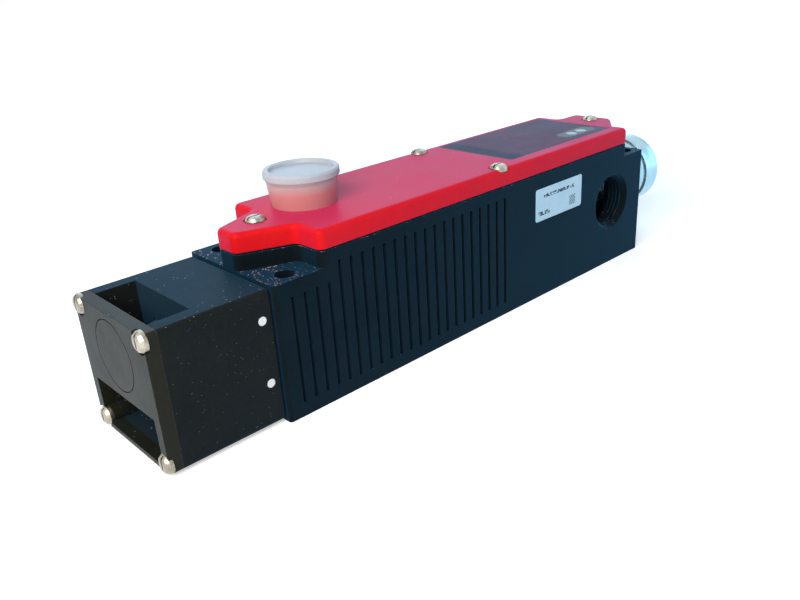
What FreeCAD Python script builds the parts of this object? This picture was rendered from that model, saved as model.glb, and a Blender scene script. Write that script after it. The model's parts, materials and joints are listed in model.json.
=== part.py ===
"""Tongue interlock switch with guard locking: a long moulded base, a screwed red cover,
a cam head with two tongue slots, a locking solenoid, a contact block and a round connector.

Millimetres. +X runs along the switch towards the connector, +Z up to the red cover, +Y to the
side without the cable entry. The origin is the centre of the four mounting holes, on the bottom face.
"""
import FreeCAD
import Part
import math
import os

V = FreeCAD.Vector

# ---------------------------------------------------------------- driving dimensions
# mounting and base housing
MOUNT_PITCH_X = 156.0        # between the mounting holes, along the switch
MOUNT_PITCH_Y = 30.0         # between the mounting holes, across the switch
MOUNT_HOLE_R = 2.75          # clearance for M5
FRONT_EDGE = 7.0             # front mounting hole to the front face
REAR_EDGE = 5.0              # rear mounting hole to the rear face
BASE_WIDTH = 40.0
SHELF_Z = 38.9               # mounting shelves, where the fixing screws bear
RIM_STEP = 4.3               # raised rim above the shelves
FLOOR_T = 3.0
SIDE_WALL = 3.5
FRONT_WALL = 19.0            # solid block that guides the plunger
END_BLOCK = 11.0             # rear block with the ear screw
END_WALL = 4.0               # wall that carries the connector
FRONT_NOTCH = 15.2           # length of the front mounting shelves
REAR_NOTCH = 11.0            # length of the rear mounting shelves
EDGE_R = 1.0                 # outer edges of the mouldings
CORNER_R = 2.0               # corners of the rim outline and of the cavity

# grooves of both long sides
GROOVE_COUNT = 22
GROOVE_SHORT_COUNT = 4       # the first ones stop below the mounting shelf
GROOVE_PITCH = 3.92
GROOVE_W = 1.2
GROOVE_DEPTH = 0.8
GROOVE_FIRST = 5.3           # first groove from the front face
GROOVE_BOTTOM_Z = 4.0
GROOVE_SHORT_TOP = 4.2       # below the shelf
GROOVE_TALL_TOP = 3.5        # below the rim

# inside of the base
RAIL_GAP = 3.4               # rails that carry the solenoid, beside the lock rod
RAIL_T = 4.0
EAR_GAP = 0.4                # lever ears, beside the lock rod
EAR_T = 3.0
EAR_FOOT_HALF = 5.0
EAR_TOP_HALF = 2.8
EAR_ROUND = 2.4
TOWER_WALL = 1.8             # round the middle cover screws
NUT_POCKET_HALF = 11.0       # pocket behind the connector's wall
NUT_POCKET_BELOW = 14.5
NUT_POCKET_ABOVE = 10.1
NUT_POCKET_R = 1.5
MERGE = 0.5                  # how far a rib or boss runs into what carries it

# ears of the rim, gasket and cover
EAR_TIP_HALF = 4.1           # front ear, half width at its tip
EAR_ROOT_HALF = 10.3         # front ear, half width at its root
REAR_EAR_NEAR = 5.6          # rear ear tip, towards the cable entry side
REAR_EAR_FAR = 10.6          # rear ear, straight side
REAR_EAR_ROOT = 13.4         # rear ear root, towards the cable entry side
EAR_R = 2.5
GASKET_T = 0.6
GASKET_INSET = 0.7
COVER_T = 5.3
COVER_EDGE_R = 1.5
COVER_SKIN = 3.0             # thickness over the hollow underside
LABEL_T = 0.2

# cable entry
ENTRY_R = 9.5                # M20 x 1.5 thread, taken as a plain bore
ENTRY_BOSS = 4.5             # thread boss inside the side wall
ENTRY_FROM_END = 19.5
ENTRY_Z = 23.6
ENTRY_CHAMFER = 0.7
ENTRY_BOSS_WALL = 2.5

# head
HEAD_LENGTH = 33.2
HEAD_WIDTH = 37.2
HEAD_HEIGHT = 37.2
HEAD_Z = 1.1                 # underside of the head above the mounting face
HEAD_GASKET_T = 0.8
PLATE_T = 3.6                # front plate
HEAD_SCREW_EDGE = 2.3        # corner screws from the head's sides, both ways
TOP_SLOT_X = 10.9            # top tongue slot, along the switch
TOP_SLOT_SIDE = 4.7          # wall beside the top tongue slot
FRONT_SLOT_SIDE = 3.0        # wall beside the front tongue slot
FRONT_SLOT_Z = 13.1
SLOT_FLOOR = 1.3             # wall under the front tongue slot
CHANNEL_DEPTH = 19.4         # front tongue channel behind the plate
CHANNEL_STEP = 1.5           # its roof below the plate's slot
THROAT_FLOOR = 2.0           # top tongue slot's end above the channel's floor
DISC_R = 9.4                 # engraved circle of the front plate
DISC_ABOVE = 7.3             # its centre above the head's centre
ENGRAVING = 0.4              # its depth
ENGRAVING_W = 0.3

# switching cam
CAM_R = 11.0
CAM_HALF = 7.0
CAM_ROOM = 0.6               # round the cam and the plunger in the head
CAM_SIDE_ROOM = 0.4          # beside the cam's end faces
CAM_FROM_PLATE = 13.9        # cam axis behind the front plate
CAM_BORE_R = 2.5
CAM_PIN_WALL = 2.0           # wall left over the axle's near end
SHAFT_CLEAR = 0.04
NOTCH_W = 4.6                # notch for the tongue's crossbar
NOTCH_DEPTH = 5.0
TRACK_HALF = 3.2             # width of the plunger's track, halved
TRACK_DROP = 1.0             # track below the cam's rim, locked-out side
CAM_TURN = 50.0              # degrees from open to closed guard
PLUNGER_STROKE = 3.5

# plunger, lock rod and lever
PLUNGER_R = 3.0
NOSE_R = 2.0
NOSE_GAP = 0.35
ROD_HALF = 3.0
ROD_DROP = 1.2               # plunger axis below the head's centre
LEVER_T = 4.0
LEVER_X = 16.0               # lever pivot behind the front wall
LEVER_ABOVE = 8.5            # pivot above the rod's axis
LINK_ABOVE = 6.0             # link pin above the pivot
PIVOT_R = 1.5
LINK_R = 1.0
LATCH_DEPTH = 2.0

# solenoid
SOLENOID_ABOVE_PIVOT = 6.0   # armature axis above the lever pivot
SOLENOID_X = 24.0            # yoke behind the front wall
SOLENOID_LENGTH = 34.0
YOKE_T = 2.0
YOKE_W = 24.0
YOKE_H = 20.0
COIL_R = 7.8
ARMATURE_R = 4.0
ARMATURE_STROKE = 1.6

# contact block
BLOCK_LENGTH = 29.0
BLOCK_GAP = 2.0              # its foot to the terminal block
BLOCK_W = 27.0
BLOCK_H = 28.0
BLOCK_WALL = 2.5
FOOT_LENGTH = 5.0            # screwed foot behind each block

# terminals and circuit board
TERMINAL_X = 98.0            # behind the front wall
TERMINAL_LENGTH = 18.0
TERMINAL_W = 28.0
TERMINAL_H = 17.0
TERMINAL_COUNT = 6

# connector
CONNECTOR_R = 13.5
CONNECTOR_LENGTH = 25.2
CONNECTOR_Z = 24.5
SPIGOT_R = 7.95
PORT_CLEAR = 0.1

# release under the protective cap
RELEASE_X = 10.0             # behind the front wall
RELEASE_Y = 4.0
PORT_R = 9.35
PORT_DEPTH = 2.7
SPINDLE_R = 3.5
CAP_H = 12.6
CAP_BASE_R = 9.25
CAP_RIM_R = 10.7

# screws
COVER_SCREW_R = 1.5
PAN_HEAD_R = 2.75
PAN_HEAD_H = 2.0
FRONT_SCREW_X = 10.6         # front ear screw from the front face
FRONT_SCREW_Y = 1.2
REAR_SCREW_X = 5.5           # rear ear screw from the rear face
MID_SCREW_X = 2.7
MID_SCREW_EDGE = 2.5         # middle screws from the side faces
COVER_SCREW_SINK = 0.8       # seats below the cover's top
COVER_SCREW_GRIP = 6.5       # thread in the base
SCREW_CLEAR = 0.2
SEAT_CLEAR = 0.35            # round a pan head
PLATE_SCREW_CLEAR = 0.15     # same two in the head's front plate
PLATE_SEAT_CLEAR = 0.4
SMALL_SCREW_R = 1.2          # solenoid and block screws
SMALL_HEAD_R = 2.2
SMALL_HEAD_H = 1.2
SMALL_GRIP = 6.0
BOTTOM_CLEAR = 0.3           # below a screw's tip

# ---------------------------------------------------------------- derived places
FRONT_X = -MOUNT_PITCH_X / 2 - FRONT_EDGE
REAR_X = MOUNT_PITCH_X / 2 + REAR_EDGE
HALF_W = BASE_WIDTH / 2
RIM_Z = SHELF_Z + RIM_STEP
COVER_Z = RIM_Z + GASKET_T
COVER_TOP = COVER_Z + COVER_T
CAVITY_X0 = FRONT_X + FRONT_WALL
CAVITY_X1 = REAR_X - END_BLOCK
CAVITY_Y = HALF_W - SIDE_WALL
HEAD_BACK = FRONT_X - HEAD_GASKET_T
HEAD_FRONT = HEAD_BACK - HEAD_LENGTH
PLATE_BACK = HEAD_FRONT + PLATE_T
HEAD_CZ = HEAD_Z + HEAD_HEIGHT / 2
HEAD_TOP = HEAD_Z + HEAD_HEIGHT
TOP_SLOT_Y = HEAD_WIDTH - 2 * TOP_SLOT_SIDE
FRONT_SLOT_Y = HEAD_WIDTH - 2 * FRONT_SLOT_SIDE
CAM_X = PLATE_BACK + CAM_FROM_PLATE
ROD_Z = HEAD_CZ - ROD_DROP
NOSE_X = CAM_X + CAM_R - TRACK_DROP + NOSE_GAP
PIVOT_X = CAVITY_X0 + LEVER_X
PIVOT_Z = ROD_Z + LEVER_ABOVE
COIL_Z = PIVOT_Z + SOLENOID_ABOVE_PIVOT
YOKE_X0 = CAVITY_X0 + SOLENOID_X
YOKE_X1 = YOKE_X0 + SOLENOID_LENGTH
YOKE_Z0 = COIL_Z - YOKE_H / 2
TERMINAL_X0 = CAVITY_X0 + TERMINAL_X
BLOCK_X1 = TERMINAL_X0 - BLOCK_GAP - FOOT_LENGTH
BLOCK_X0 = BLOCK_X1 - BLOCK_LENGTH
ENTRY_X = REAR_X - ENTRY_FROM_END
CAP_X = CAVITY_X0 + RELEASE_X


# ---------------------------------------------------------------- shape helpers
def box(x0, x1, y0, y1, z0, z1):
    return Part.makeBox(x1 - x0, y1 - y0, z1 - z0, V(x0, y0, z0))


def rod(axis, start, length, radius):
    """Cylinder from the point start along the unit vector axis."""
    return Part.makeCylinder(radius, length, V(*start), V(*axis))


X, Y, Z = (1, 0, 0), (0, 1, 0), (0, 0, 1)


def fuse(shapes):
    solid = shapes[0].multiFuse(shapes[1:]) if len(shapes) > 1 else shapes[0]
    return solid.removeSplitter()


def cut(shape, tools):
    return shape.cut(Part.makeCompound(tools)) if tools else shape


def rounded_outline(corners, place):
    """Closed wire through (u, v, radius) corners, each rounded; place turns (u, v) into a point."""
    flat = [V(u, v, 0) for u, v, _ in corners]
    ends = []
    for i, (u, v, radius) in enumerate(corners):
        here = flat[i]
        back = (flat[i - 1] - here).normalize()
        ahead = (flat[(i + 1) % len(flat)] - here).normalize()
        half = back.getAngle(ahead) / 2
        reach = radius / math.tan(half)
        middle = (back + ahead).normalize()
        dip = here + middle * (radius / math.sin(half) - radius)
        ends.append((here + back * reach, dip, here + ahead * reach))
    edges = []
    for i, (start, dip, end) in enumerate(ends):
        before = ends[i - 1][2]
        if (start - before).Length > 1e-6:
            edges.append(Part.LineSegment(place(before.x, before.y), place(start.x, start.y)).toShape())
        if corners[i][2] > 0:
            arc = Part.Arc(place(start.x, start.y), place(dip.x, dip.y), place(end.x, end.y))
            edges.append(arc.toShape())
    return Part.Wire(edges)


def plate_z(corners, z0, z1):
    """Rounded outline in the XY plane, raised from z0 to z1."""
    wire = rounded_outline(corners, lambda u, v: V(u, v, z0))
    return Part.Face(wire).extrude(V(0, 0, z1 - z0))


def plate_y(corners, y0, y1):
    """Rounded outline in the XZ plane, raised from y0 to y1."""
    wire = rounded_outline(corners, lambda u, v: V(u, y0, v))
    return Part.Face(wire).extrude(V(0, y1 - y0, 0))


def plate_x(corners, x0, x1):
    """Rounded outline in the YZ plane, raised from x0 to x1."""
    wire = rounded_outline(corners, lambda u, v: V(x0, u, v))
    return Part.Face(wire).extrude(V(x1 - x0, 0, 0))


def rectangle(u0, u1, v0, v1, radius):
    return [(u0, v0, radius), (u1, v0, radius), (u1, v1, radius), (u0, v1, radius)]


def turned(profile, origin, axis):
    """Solid of revolution: (distance along the axis, radius) points turned about the axis."""
    along = V(*axis)
    across = V(0, 1, 0) if axis == X else V(1, 0, 0)
    points = [V(*origin) + along * a + across * r for a, r in profile]
    wire = Part.makePolygon(points + [points[0]])
    return Part.Face(wire).revolve(V(*origin), along, 360)


def round_edges(shape, radius, chosen):
    """Fillet of the edges whose bounding box passes the test."""
    edges = [edge for edge in shape.Edges if chosen(edge.BoundBox)]
    return shape.makeFillet(radius, edges)


def pan_screw(seat, axis, length, shaft_r=COVER_SCREW_R):
    """Slotted pan-head screw; seat is the middle of the head's underside, axis points out of the head."""
    profile = [
        (-length, 0), (-length, shaft_r), (0, shaft_r), (0, PAN_HEAD_R),
        (0.45 * PAN_HEAD_H, PAN_HEAD_R), (0.85 * PAN_HEAD_H, 0.8 * PAN_HEAD_R),
        (PAN_HEAD_H, 0.55 * PAN_HEAD_R), (PAN_HEAD_H, 0),
    ]
    slot_half = 0.11 * PAN_HEAD_R
    slot = box(-PAN_HEAD_R, PAN_HEAD_R, -slot_half, slot_half, 0.55 * PAN_HEAD_H, 2 * PAN_HEAD_H)
    screw = turned(profile, (0, 0, 0), Z).cut(slot)
    screw.Placement = FreeCAD.Placement(V(*seat), FreeCAD.Rotation(V(0, 0, 1), V(*axis)))
    return screw


def save(name, shape):
    """One STEP file per node; a list becomes a group of separate solids."""
    node = Part.makeCompound(shape) if isinstance(shape, list) else shape
    node.exportStep("parts/" + name + ".step")


# ---------------------------------------------------------------- rim outline of base, gasket and cover
def rim_corners():
    front = FRONT_X + FRONT_NOTCH
    rear = REAR_X - REAR_NOTCH
    return [
        (FRONT_X, -EAR_TIP_HALF, EAR_R),
        (front, -EAR_ROOT_HALF, EAR_R),
        (front, -HALF_W, CORNER_R),
        (rear, -HALF_W, CORNER_R),
        (rear, -REAR_EAR_ROOT, CORNER_R),
        (REAR_X, -REAR_EAR_NEAR, EAR_R),
        (REAR_X, REAR_EAR_FAR, EAR_R),
        (rear, REAR_EAR_FAR, CORNER_R),
        (rear, HALF_W, CORNER_R),
        (front, HALF_W, CORNER_R),
        (front, EAR_ROOT_HALF, EAR_R),
        (FRONT_X, EAR_TIP_HALF, EAR_R),
    ]


def cover_screw_places():
    edge = HALF_W - MID_SCREW_EDGE
    return [
        (FRONT_X + FRONT_SCREW_X, FRONT_SCREW_Y),
        (REAR_X - REAR_SCREW_X, 0.0),
        (MID_SCREW_X, -edge),
        (MID_SCREW_X, edge),
    ]


COVER_SCREW_SEAT = COVER_TOP - COVER_SCREW_SINK
COVER_SCREW_LENGTH = COVER_SCREW_SEAT - RIM_Z + COVER_SCREW_GRIP


# ---------------------------------------------------------------- base housing
def groove_tools():
    """Vertical grooves of both sides; the first ones end under the mounting shelf."""
    tools = []
    for i in range(GROOVE_COUNT):
        middle = FRONT_X + GROOVE_FIRST + i * GROOVE_PITCH
        top = SHELF_Z - GROOVE_SHORT_TOP if i < GROOVE_SHORT_COUNT else RIM_Z - GROOVE_TALL_TOP
        x0, x1 = middle - GROOVE_W / 2, middle + GROOVE_W / 2
        tools.append(box(x0, x1, -HALF_W - 1, -HALF_W + GROOVE_DEPTH, GROOVE_BOTTOM_Z, top))
        tools.append(box(x0, x1, HALF_W - GROOVE_DEPTH, HALF_W + 1, GROOVE_BOTTOM_Z, top))
    return tools


def solenoid_rails():
    """Two upright ribs on the floor that carry the yoke above the lock rod."""
    inner = ROD_HALF + RAIL_GAP
    outer = inner + RAIL_T
    rails = []
    for y0, y1 in ((-outer, -inner), (inner, outer)):
        rails.append(box(YOKE_X0, YOKE_X1, y0, y1, FLOOR_T, YOKE_Z0))
    return rails


def lever_lugs():
    """Two rounded ears beside the lock rod that hold the lever's pivot pin."""
    lugs = []
    foot = FLOOR_T - MERGE
    top = PIVOT_Z + EAR_TOP_HALF - 0.2
    for y0 in (-ROD_HALF - EAR_GAP - EAR_T, ROD_HALF + EAR_GAP):
        corners = [
            (PIVOT_X - EAR_FOOT_HALF, foot, 0), (PIVOT_X + EAR_FOOT_HALF, foot, 0),
            (PIVOT_X + EAR_TOP_HALF, top, EAR_ROUND), (PIVOT_X - EAR_TOP_HALF, top, EAR_ROUND),
        ]
        lugs.append(plate_y(corners, y0, y0 + EAR_T))
    return lugs


def base_housing():
    block = plate_z(rectangle(FRONT_X, REAR_X, -HALF_W, HALF_W, EDGE_R), 0, SHELF_Z)
    rim = plate_z(rim_corners(), SHELF_Z - 1, RIM_Z)
    body = block.fuse(rim).removeSplitter()
    cavity = plate_z(
        rectangle(CAVITY_X0, CAVITY_X1, -CAVITY_Y, CAVITY_Y, CORNER_R), FLOOR_T, RIM_Z + 1
    )
    pocket_x0, pocket_x1 = CAVITY_X1 - 2 * NUT_POCKET_R, REAR_X - END_WALL
    pocket = plate_z(
        rectangle(pocket_x0, pocket_x1, -NUT_POCKET_HALF, NUT_POCKET_HALF, NUT_POCKET_R),
        CONNECTOR_Z - NUT_POCKET_BELOW, CONNECTOR_Z + NUT_POCKET_ABOVE,
    )
    body = body.cut(cavity).cut(pocket)
    screw_towers = []
    for x, y in cover_screw_places()[2:]:
        tower = rod(Z, (x, y, FLOOR_T - MERGE), RIM_Z - FLOOR_T + MERGE, COVER_SCREW_R + TOWER_WALL)
        inside = box(x - END_BLOCK, x + END_BLOCK, -HALF_W + EDGE_R, HALF_W - EDGE_R, 0, RIM_Z)
        screw_towers.append(tower.common(inside))
    entry_boss = rod(
        Y, (ENTRY_X, -CAVITY_Y - MERGE, ENTRY_Z), ENTRY_BOSS + MERGE, ENTRY_R + ENTRY_BOSS_WALL
    )
    added = screw_towers + solenoid_rails() + lever_lugs() + foot_bosses() + head_lugs()
    body = body.multiFuse(added + [entry_boss, earth_boss()]).removeSplitter()
    tools = groove_tools()
    for x in (-MOUNT_PITCH_X / 2, MOUNT_PITCH_X / 2):
        for y in (-MOUNT_PITCH_Y / 2, MOUNT_PITCH_Y / 2):
            tools.append(rod(Z, (x, y, -1), SHELF_Z + 2, MOUNT_HOLE_R))
    for x, y in cover_screw_places():
        depth = COVER_SCREW_GRIP + BOTTOM_CLEAR
        tools.append(rod(Z, (x, y, RIM_Z - depth), depth + 1, COVER_SCREW_R))
    wall_end = -CAVITY_Y + ENTRY_BOSS
    entry = [
        (-HALF_W - 1, 0), (-HALF_W - 1, ENTRY_R + ENTRY_CHAMFER + 1),
        (-HALF_W + ENTRY_CHAMFER, ENTRY_R), (wall_end + 1, ENTRY_R), (wall_end + 1, 0),
    ]
    tools.append(turned(entry, (ENTRY_X, 0, ENTRY_Z), Y))
    tools.append(rod(X, (CAVITY_X1 - 1, 0, CONNECTOR_Z), END_BLOCK + 2, SPIGOT_R + PORT_CLEAR))
    tools.append(rod(X, (FRONT_X - 1, 0, ROD_Z), FRONT_WALL + 2, PLUNGER_R + SHAFT_CLEAR))
    ear_span = ROD_HALF + EAR_GAP + EAR_T
    tools.append(rod(Y, (PIVOT_X, -ear_span - 1, PIVOT_Z), 2 * ear_span + 2, PIVOT_R))
    rail_bore = YOKE_Z0 - SMALL_GRIP - BOTTOM_CLEAR
    tools += [rod(Z, (x, y, rail_bore), SMALL_GRIP + 1, SMALL_SCREW_R) for x, y in yoke_screw_places()]
    foot_bore = FOOT_Z - FOOT_GRIP - BOTTOM_CLEAR
    tools += [rod(Z, (x, y, foot_bore), FOOT_GRIP + 1, SMALL_SCREW_R) for x, y in foot_screw_places()]
    tools.append(rod(Z, (EARTH_X, EARTH_Y, FLOOR_T - BOTTOM_CLEAR), EARTH_BOSS_H + 1, COVER_SCREW_R))
    return cut(body, tools)


def cover_gasket():
    outline = rounded_outline(rim_corners(), lambda u, v: V(u, v, RIM_Z))
    ring = Part.Face(outline).makeOffset2D(-GASKET_INSET).extrude(V(0, 0, GASKET_T))
    window = plate_z(
        rectangle(CAVITY_X0, CAVITY_X1, -CAVITY_Y, CAVITY_Y, CORNER_R), RIM_Z - 1, COVER_Z + 1
    )
    lugs = []
    for x, y in cover_screw_places()[2:]:
        lugs.append(rod(Z, (x, y, RIM_Z), GASKET_T, COVER_SCREW_R + TOWER_WALL - 0.2).common(ring))
    ring = ring.cut(window).multiFuse(lugs).removeSplitter()
    hole_r = COVER_SCREW_R + PORT_CLEAR
    holes = [rod(Z, (x, y, RIM_Z - 1), GASKET_T + 2, hole_r) for x, y in cover_screw_places()]
    return cut(ring, holes)


# ---------------------------------------------------------------- cover and what sits on it
WINDOW_X = ENTRY_X - 6.9
WINDOW_Y = -8.3
WINDOW_L = 18.5
WINDOW_W = 6.5
WINDOW_DEPTH = 2.0
LED_PITCH = 5.6
WINDOW_LEDGE = 1.2           # that the window rests on
LABEL_AHEAD = 44.4           # label's ends from the window's middle
LABEL_BEHIND = 11.7
LABEL_NEAR = 5.2             # label's sides from the cover's sides
LABEL_FAR = 2.5
LABEL_X0 = WINDOW_X - LABEL_AHEAD
LABEL_X1 = WINDOW_X + LABEL_BEHIND
LABEL_Y0 = -HALF_W + LABEL_NEAR
LABEL_Y1 = HALF_W - LABEL_FAR
HOLLOW_EDGE = 3.2            # cover's full thickness along its sides
POST_R = 2.4


def cover():
    outline = plate_z(rim_corners(), COVER_Z, COVER_TOP)
    body = round_edges(
        outline, COVER_EDGE_R, lambda extent: extent.ZMin > COVER_TOP - 0.01
    )
    inner = COVER_TOP - COVER_SKIN
    hollow_y = CAVITY_Y - HOLLOW_EDGE
    hollow_x0, hollow_x1 = CAP_X + PORT_R + COVER_SKIN, CAVITY_X1 - CORNER_R
    hollow = plate_z(rectangle(hollow_x0, hollow_x1, -hollow_y, hollow_y, CORNER_R), COVER_Z - 1, inner)
    body = body.cut(hollow)
    posts = [rod(Z, (x, y, BOARD_TOP), inner - BOARD_TOP + MERGE, POST_R) for x, y in board_posts()]
    body = body.multiFuse(posts).removeSplitter()
    tools = [rod(Z, (x, y, BOARD_TOP - 1), 1 + BOARD_GRIP + MERGE, BOARD_SCREW_R) for x, y in board_posts()]
    for x, y in cover_screw_places():
        tools.append(rod(Z, (x, y, COVER_Z - 1), COVER_T + 2, COVER_SCREW_R + SCREW_CLEAR))
        tools.append(rod(Z, (x, y, COVER_SCREW_SEAT), COVER_T, PAN_HEAD_R + SEAT_CLEAR))
    tools.append(rod(Z, (CAP_X, RELEASE_Y, COVER_TOP - PORT_DEPTH), PORT_DEPTH + 1, PORT_R))
    tools.append(rod(Z, (CAP_X, RELEASE_Y, COVER_Z - 1), COVER_T + 2, SPINDLE_R + SHAFT_CLEAR))
    tools.append(plate_z(label_corners(), COVER_TOP - LABEL_T, COVER_TOP + 1))
    tools.append(plate_z(window_corners(0.0), COVER_TOP - WINDOW_DEPTH, COVER_TOP + 1))
    tools.append(plate_z(window_corners(-WINDOW_LEDGE), COVER_Z - 1, COVER_TOP))
    return cut(body, tools)


def label_corners():
    return rectangle(LABEL_X0, LABEL_X1, LABEL_Y0, LABEL_Y1, EDGE_R)


def window_corners(grow):
    half_l = WINDOW_L / 2 + grow
    half_w = WINDOW_W / 2 + grow
    return rectangle(WINDOW_X - half_l, WINDOW_X + half_l, WINDOW_Y - half_w, WINDOW_Y + half_w, half_w - 0.1)


def cover_label():
    sheet = plate_z(label_corners(), COVER_TOP - LABEL_T, COVER_TOP)
    return sheet.cut(plate_z(window_corners(0.0), COVER_TOP - 1, COVER_TOP + 1))


def led_window():
    return plate_z(window_corners(-0.02), COVER_TOP - WINDOW_DEPTH, COVER_TOP)


# circuit board hung under the cover, with the indicator lamps below the window
BOARD_T = 1.6
BOARD_TOP = COVER_Z - 2.8
BOARD_AHEAD = 15.0           # board's ends from the window's middle
BOARD_BEHIND = 13.0
BOARD_X0 = WINDOW_X - BOARD_AHEAD
BOARD_X1 = WINDOW_X + BOARD_BEHIND
BOARD_Y0 = -CAVITY_Y + 2.5
BOARD_Y1 = CAVITY_Y - 6.5
POST_INSET = 3.4
BOARD_SCREW_R = 0.8
BOARD_GRIP = 3.0
BOARD_HEAD_R = 1.8
PLUG_LENGTH = 11.0
PLUG_W = 4.0
PLUG_H = 3.5
LAMP_R = 1.5
LAMP_TIP_R = 0.7


def board_posts():
    y = BOARD_Y1 - POST_INSET
    return [(BOARD_X0 + POST_INSET, y), (BOARD_X1 - POST_INSET, y)]


def circuit_board():
    board = plate_z(rectangle(BOARD_X0, BOARD_X1, BOARD_Y0, BOARD_Y1, EDGE_R), BOARD_TOP - BOARD_T, BOARD_TOP)
    plug_x = BOARD_X0 + 1.5
    plug_y = BOARD_Y0 + 3.0
    plug = box(plug_x, plug_x + PLUG_W, plug_y, plug_y + PLUG_LENGTH, BOARD_TOP - 0.1, BOARD_TOP + PLUG_H)
    below = BOARD_TOP - BOARD_T - 1
    holes = [rod(Z, (x, y, below), BOARD_T + 2, BOARD_SCREW_R + 0.3) for x, y in board_posts()]
    return cut(fuse([board, plug]), holes)


def board_screws():
    screws = []
    for x, y in board_posts():
        shaft = rod(Z, (x, y, BOARD_TOP - BOARD_T), BOARD_T + BOARD_GRIP, BOARD_SCREW_R)
        head = rod(Z, (x, y, BOARD_TOP - BOARD_T - SMALL_HEAD_H), SMALL_HEAD_H, BOARD_HEAD_R)
        screws.append(fuse([shaft, head]))
    return screws


def led_lamps():
    lamps = []
    for x in (WINDOW_X - LED_PITCH / 2, WINDOW_X + LED_PITCH / 2):
        top = COVER_TOP - WINDOW_DEPTH - 0.2
        profile = [
            (0, 0), (0, LAMP_R + 0.4), (0.8, LAMP_R + 0.4), (0.8, LAMP_R),
            (top - BOARD_TOP - 1.0, LAMP_R), (top - BOARD_TOP, LAMP_TIP_R), (top - BOARD_TOP, 0),
        ]
        lamps.append(turned(profile, (x, WINDOW_Y, BOARD_TOP), Z))
    return lamps


# ---------------------------------------------------------------- release spindle and protective cap
PORT_FLOOR = COVER_TOP - PORT_DEPTH
SPINDLE_HEAD_R = 6.4
SPINDLE_HEAD_H = 1.9
SPINDLE_SLOT_HALF = 0.7
SPINDLE_SLOT_FLOOR = 0.7
CLIP_T = 1.0
CLIP_W = 1.6                 # clip beyond the shaft
CLIP_GROOVE = 0.7            # groove depth
CLIP_OPENING_HALF = 1.8
CLIP_Z = COVER_Z - 1.2
FINGER_H = 2.2               # flat finger above the lock lever
FINGER_FLAT = 1.6            # its flat from the spindle's axis


def release_spindle():
    """Slotted dial above, shaft through the cover, eccentric finger above the lock lever."""
    tail = COIL_Z + ARMATURE_R + 0.6
    dial = rod(Z, (CAP_X, RELEASE_Y, PORT_FLOOR), SPINDLE_HEAD_H, SPINDLE_HEAD_R)
    shaft = rod(Z, (CAP_X, RELEASE_Y, tail), PORT_FLOOR - tail, SPINDLE_R)
    slot_end = SPINDLE_HEAD_R - 2 * SPINDLE_SLOT_HALF
    slot = box(
        CAP_X - slot_end, CAP_X + slot_end, RELEASE_Y - SPINDLE_SLOT_HALF, RELEASE_Y + SPINDLE_SLOT_HALF,
        PORT_FLOOR + SPINDLE_SLOT_FLOOR, PORT_FLOOR + SPINDLE_HEAD_H + 1,
    )
    groove = rod(Z, (CAP_X, RELEASE_Y, CLIP_Z), CLIP_T, SPINDLE_R + 1).cut(
        rod(Z, (CAP_X, RELEASE_Y, CLIP_Z), CLIP_T, SPINDLE_R - CLIP_GROOVE)
    )
    side = 2 * SPINDLE_R
    flat = box(
        CAP_X + FINGER_FLAT, CAP_X + side, RELEASE_Y - side, RELEASE_Y + side, tail - 1, tail + FINGER_H
    )
    return cut(fuse([dial, shaft]), [slot, groove, flat])


def release_clip():
    ring = rod(Z, (CAP_X, RELEASE_Y, CLIP_Z), CLIP_T, SPINDLE_R + CLIP_W)
    bore = rod(Z, (CAP_X, RELEASE_Y, CLIP_Z - 1), CLIP_T + 2, SPINDLE_R - CLIP_GROOVE)
    half = CLIP_OPENING_HALF
    gap = box(
        CAP_X - 2 * SPINDLE_R, CAP_X, RELEASE_Y - half, RELEASE_Y + half, CLIP_Z - 1, CLIP_Z + CLIP_T + 1
    )
    return cut(ring, [bore, gap])


def protective_cap():
    """Tapered cap with a flared rim and a dished top; its skirt stands in the cover's port."""
    wall = 1.1
    neck = CAP_H - 2.4
    profile = [
        (0, CAP_BASE_R - wall), (0, CAP_BASE_R), (PORT_DEPTH, CAP_BASE_R),
        (neck - 0.9, CAP_BASE_R + 0.75), (neck, CAP_RIM_R - 0.3),
        (neck + 0.3, CAP_RIM_R), (CAP_H - 0.5, CAP_RIM_R), (CAP_H, CAP_RIM_R - 0.4),
        (CAP_H, CAP_RIM_R - 1.6), (CAP_H - 1.0, CAP_RIM_R - 2.1), (CAP_H - 1.0, 0),
        (CAP_H - 2.2, 0), (CAP_H - 2.2, CAP_BASE_R + 0.1),
    ]
    return turned(profile, (CAP_X, RELEASE_Y, PORT_FLOOR), Z)


# ---------------------------------------------------------------- head
def head_screw_places():
    out_y = HEAD_WIDTH / 2 - HEAD_SCREW_EDGE
    out_z = HEAD_HEIGHT / 2 - HEAD_SCREW_EDGE
    return [(y, HEAD_CZ + z) for y in (-out_y, out_y) for z in (-out_z, out_z)]


HEAD_SCREW_SINK = 1.2
HEAD_BOSS_R = 2.9            # round the lower screws, inside the front tongue slot
HEAD_SCREW_LENGTH = 14.0
LUG_LENGTH = 6.0


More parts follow.
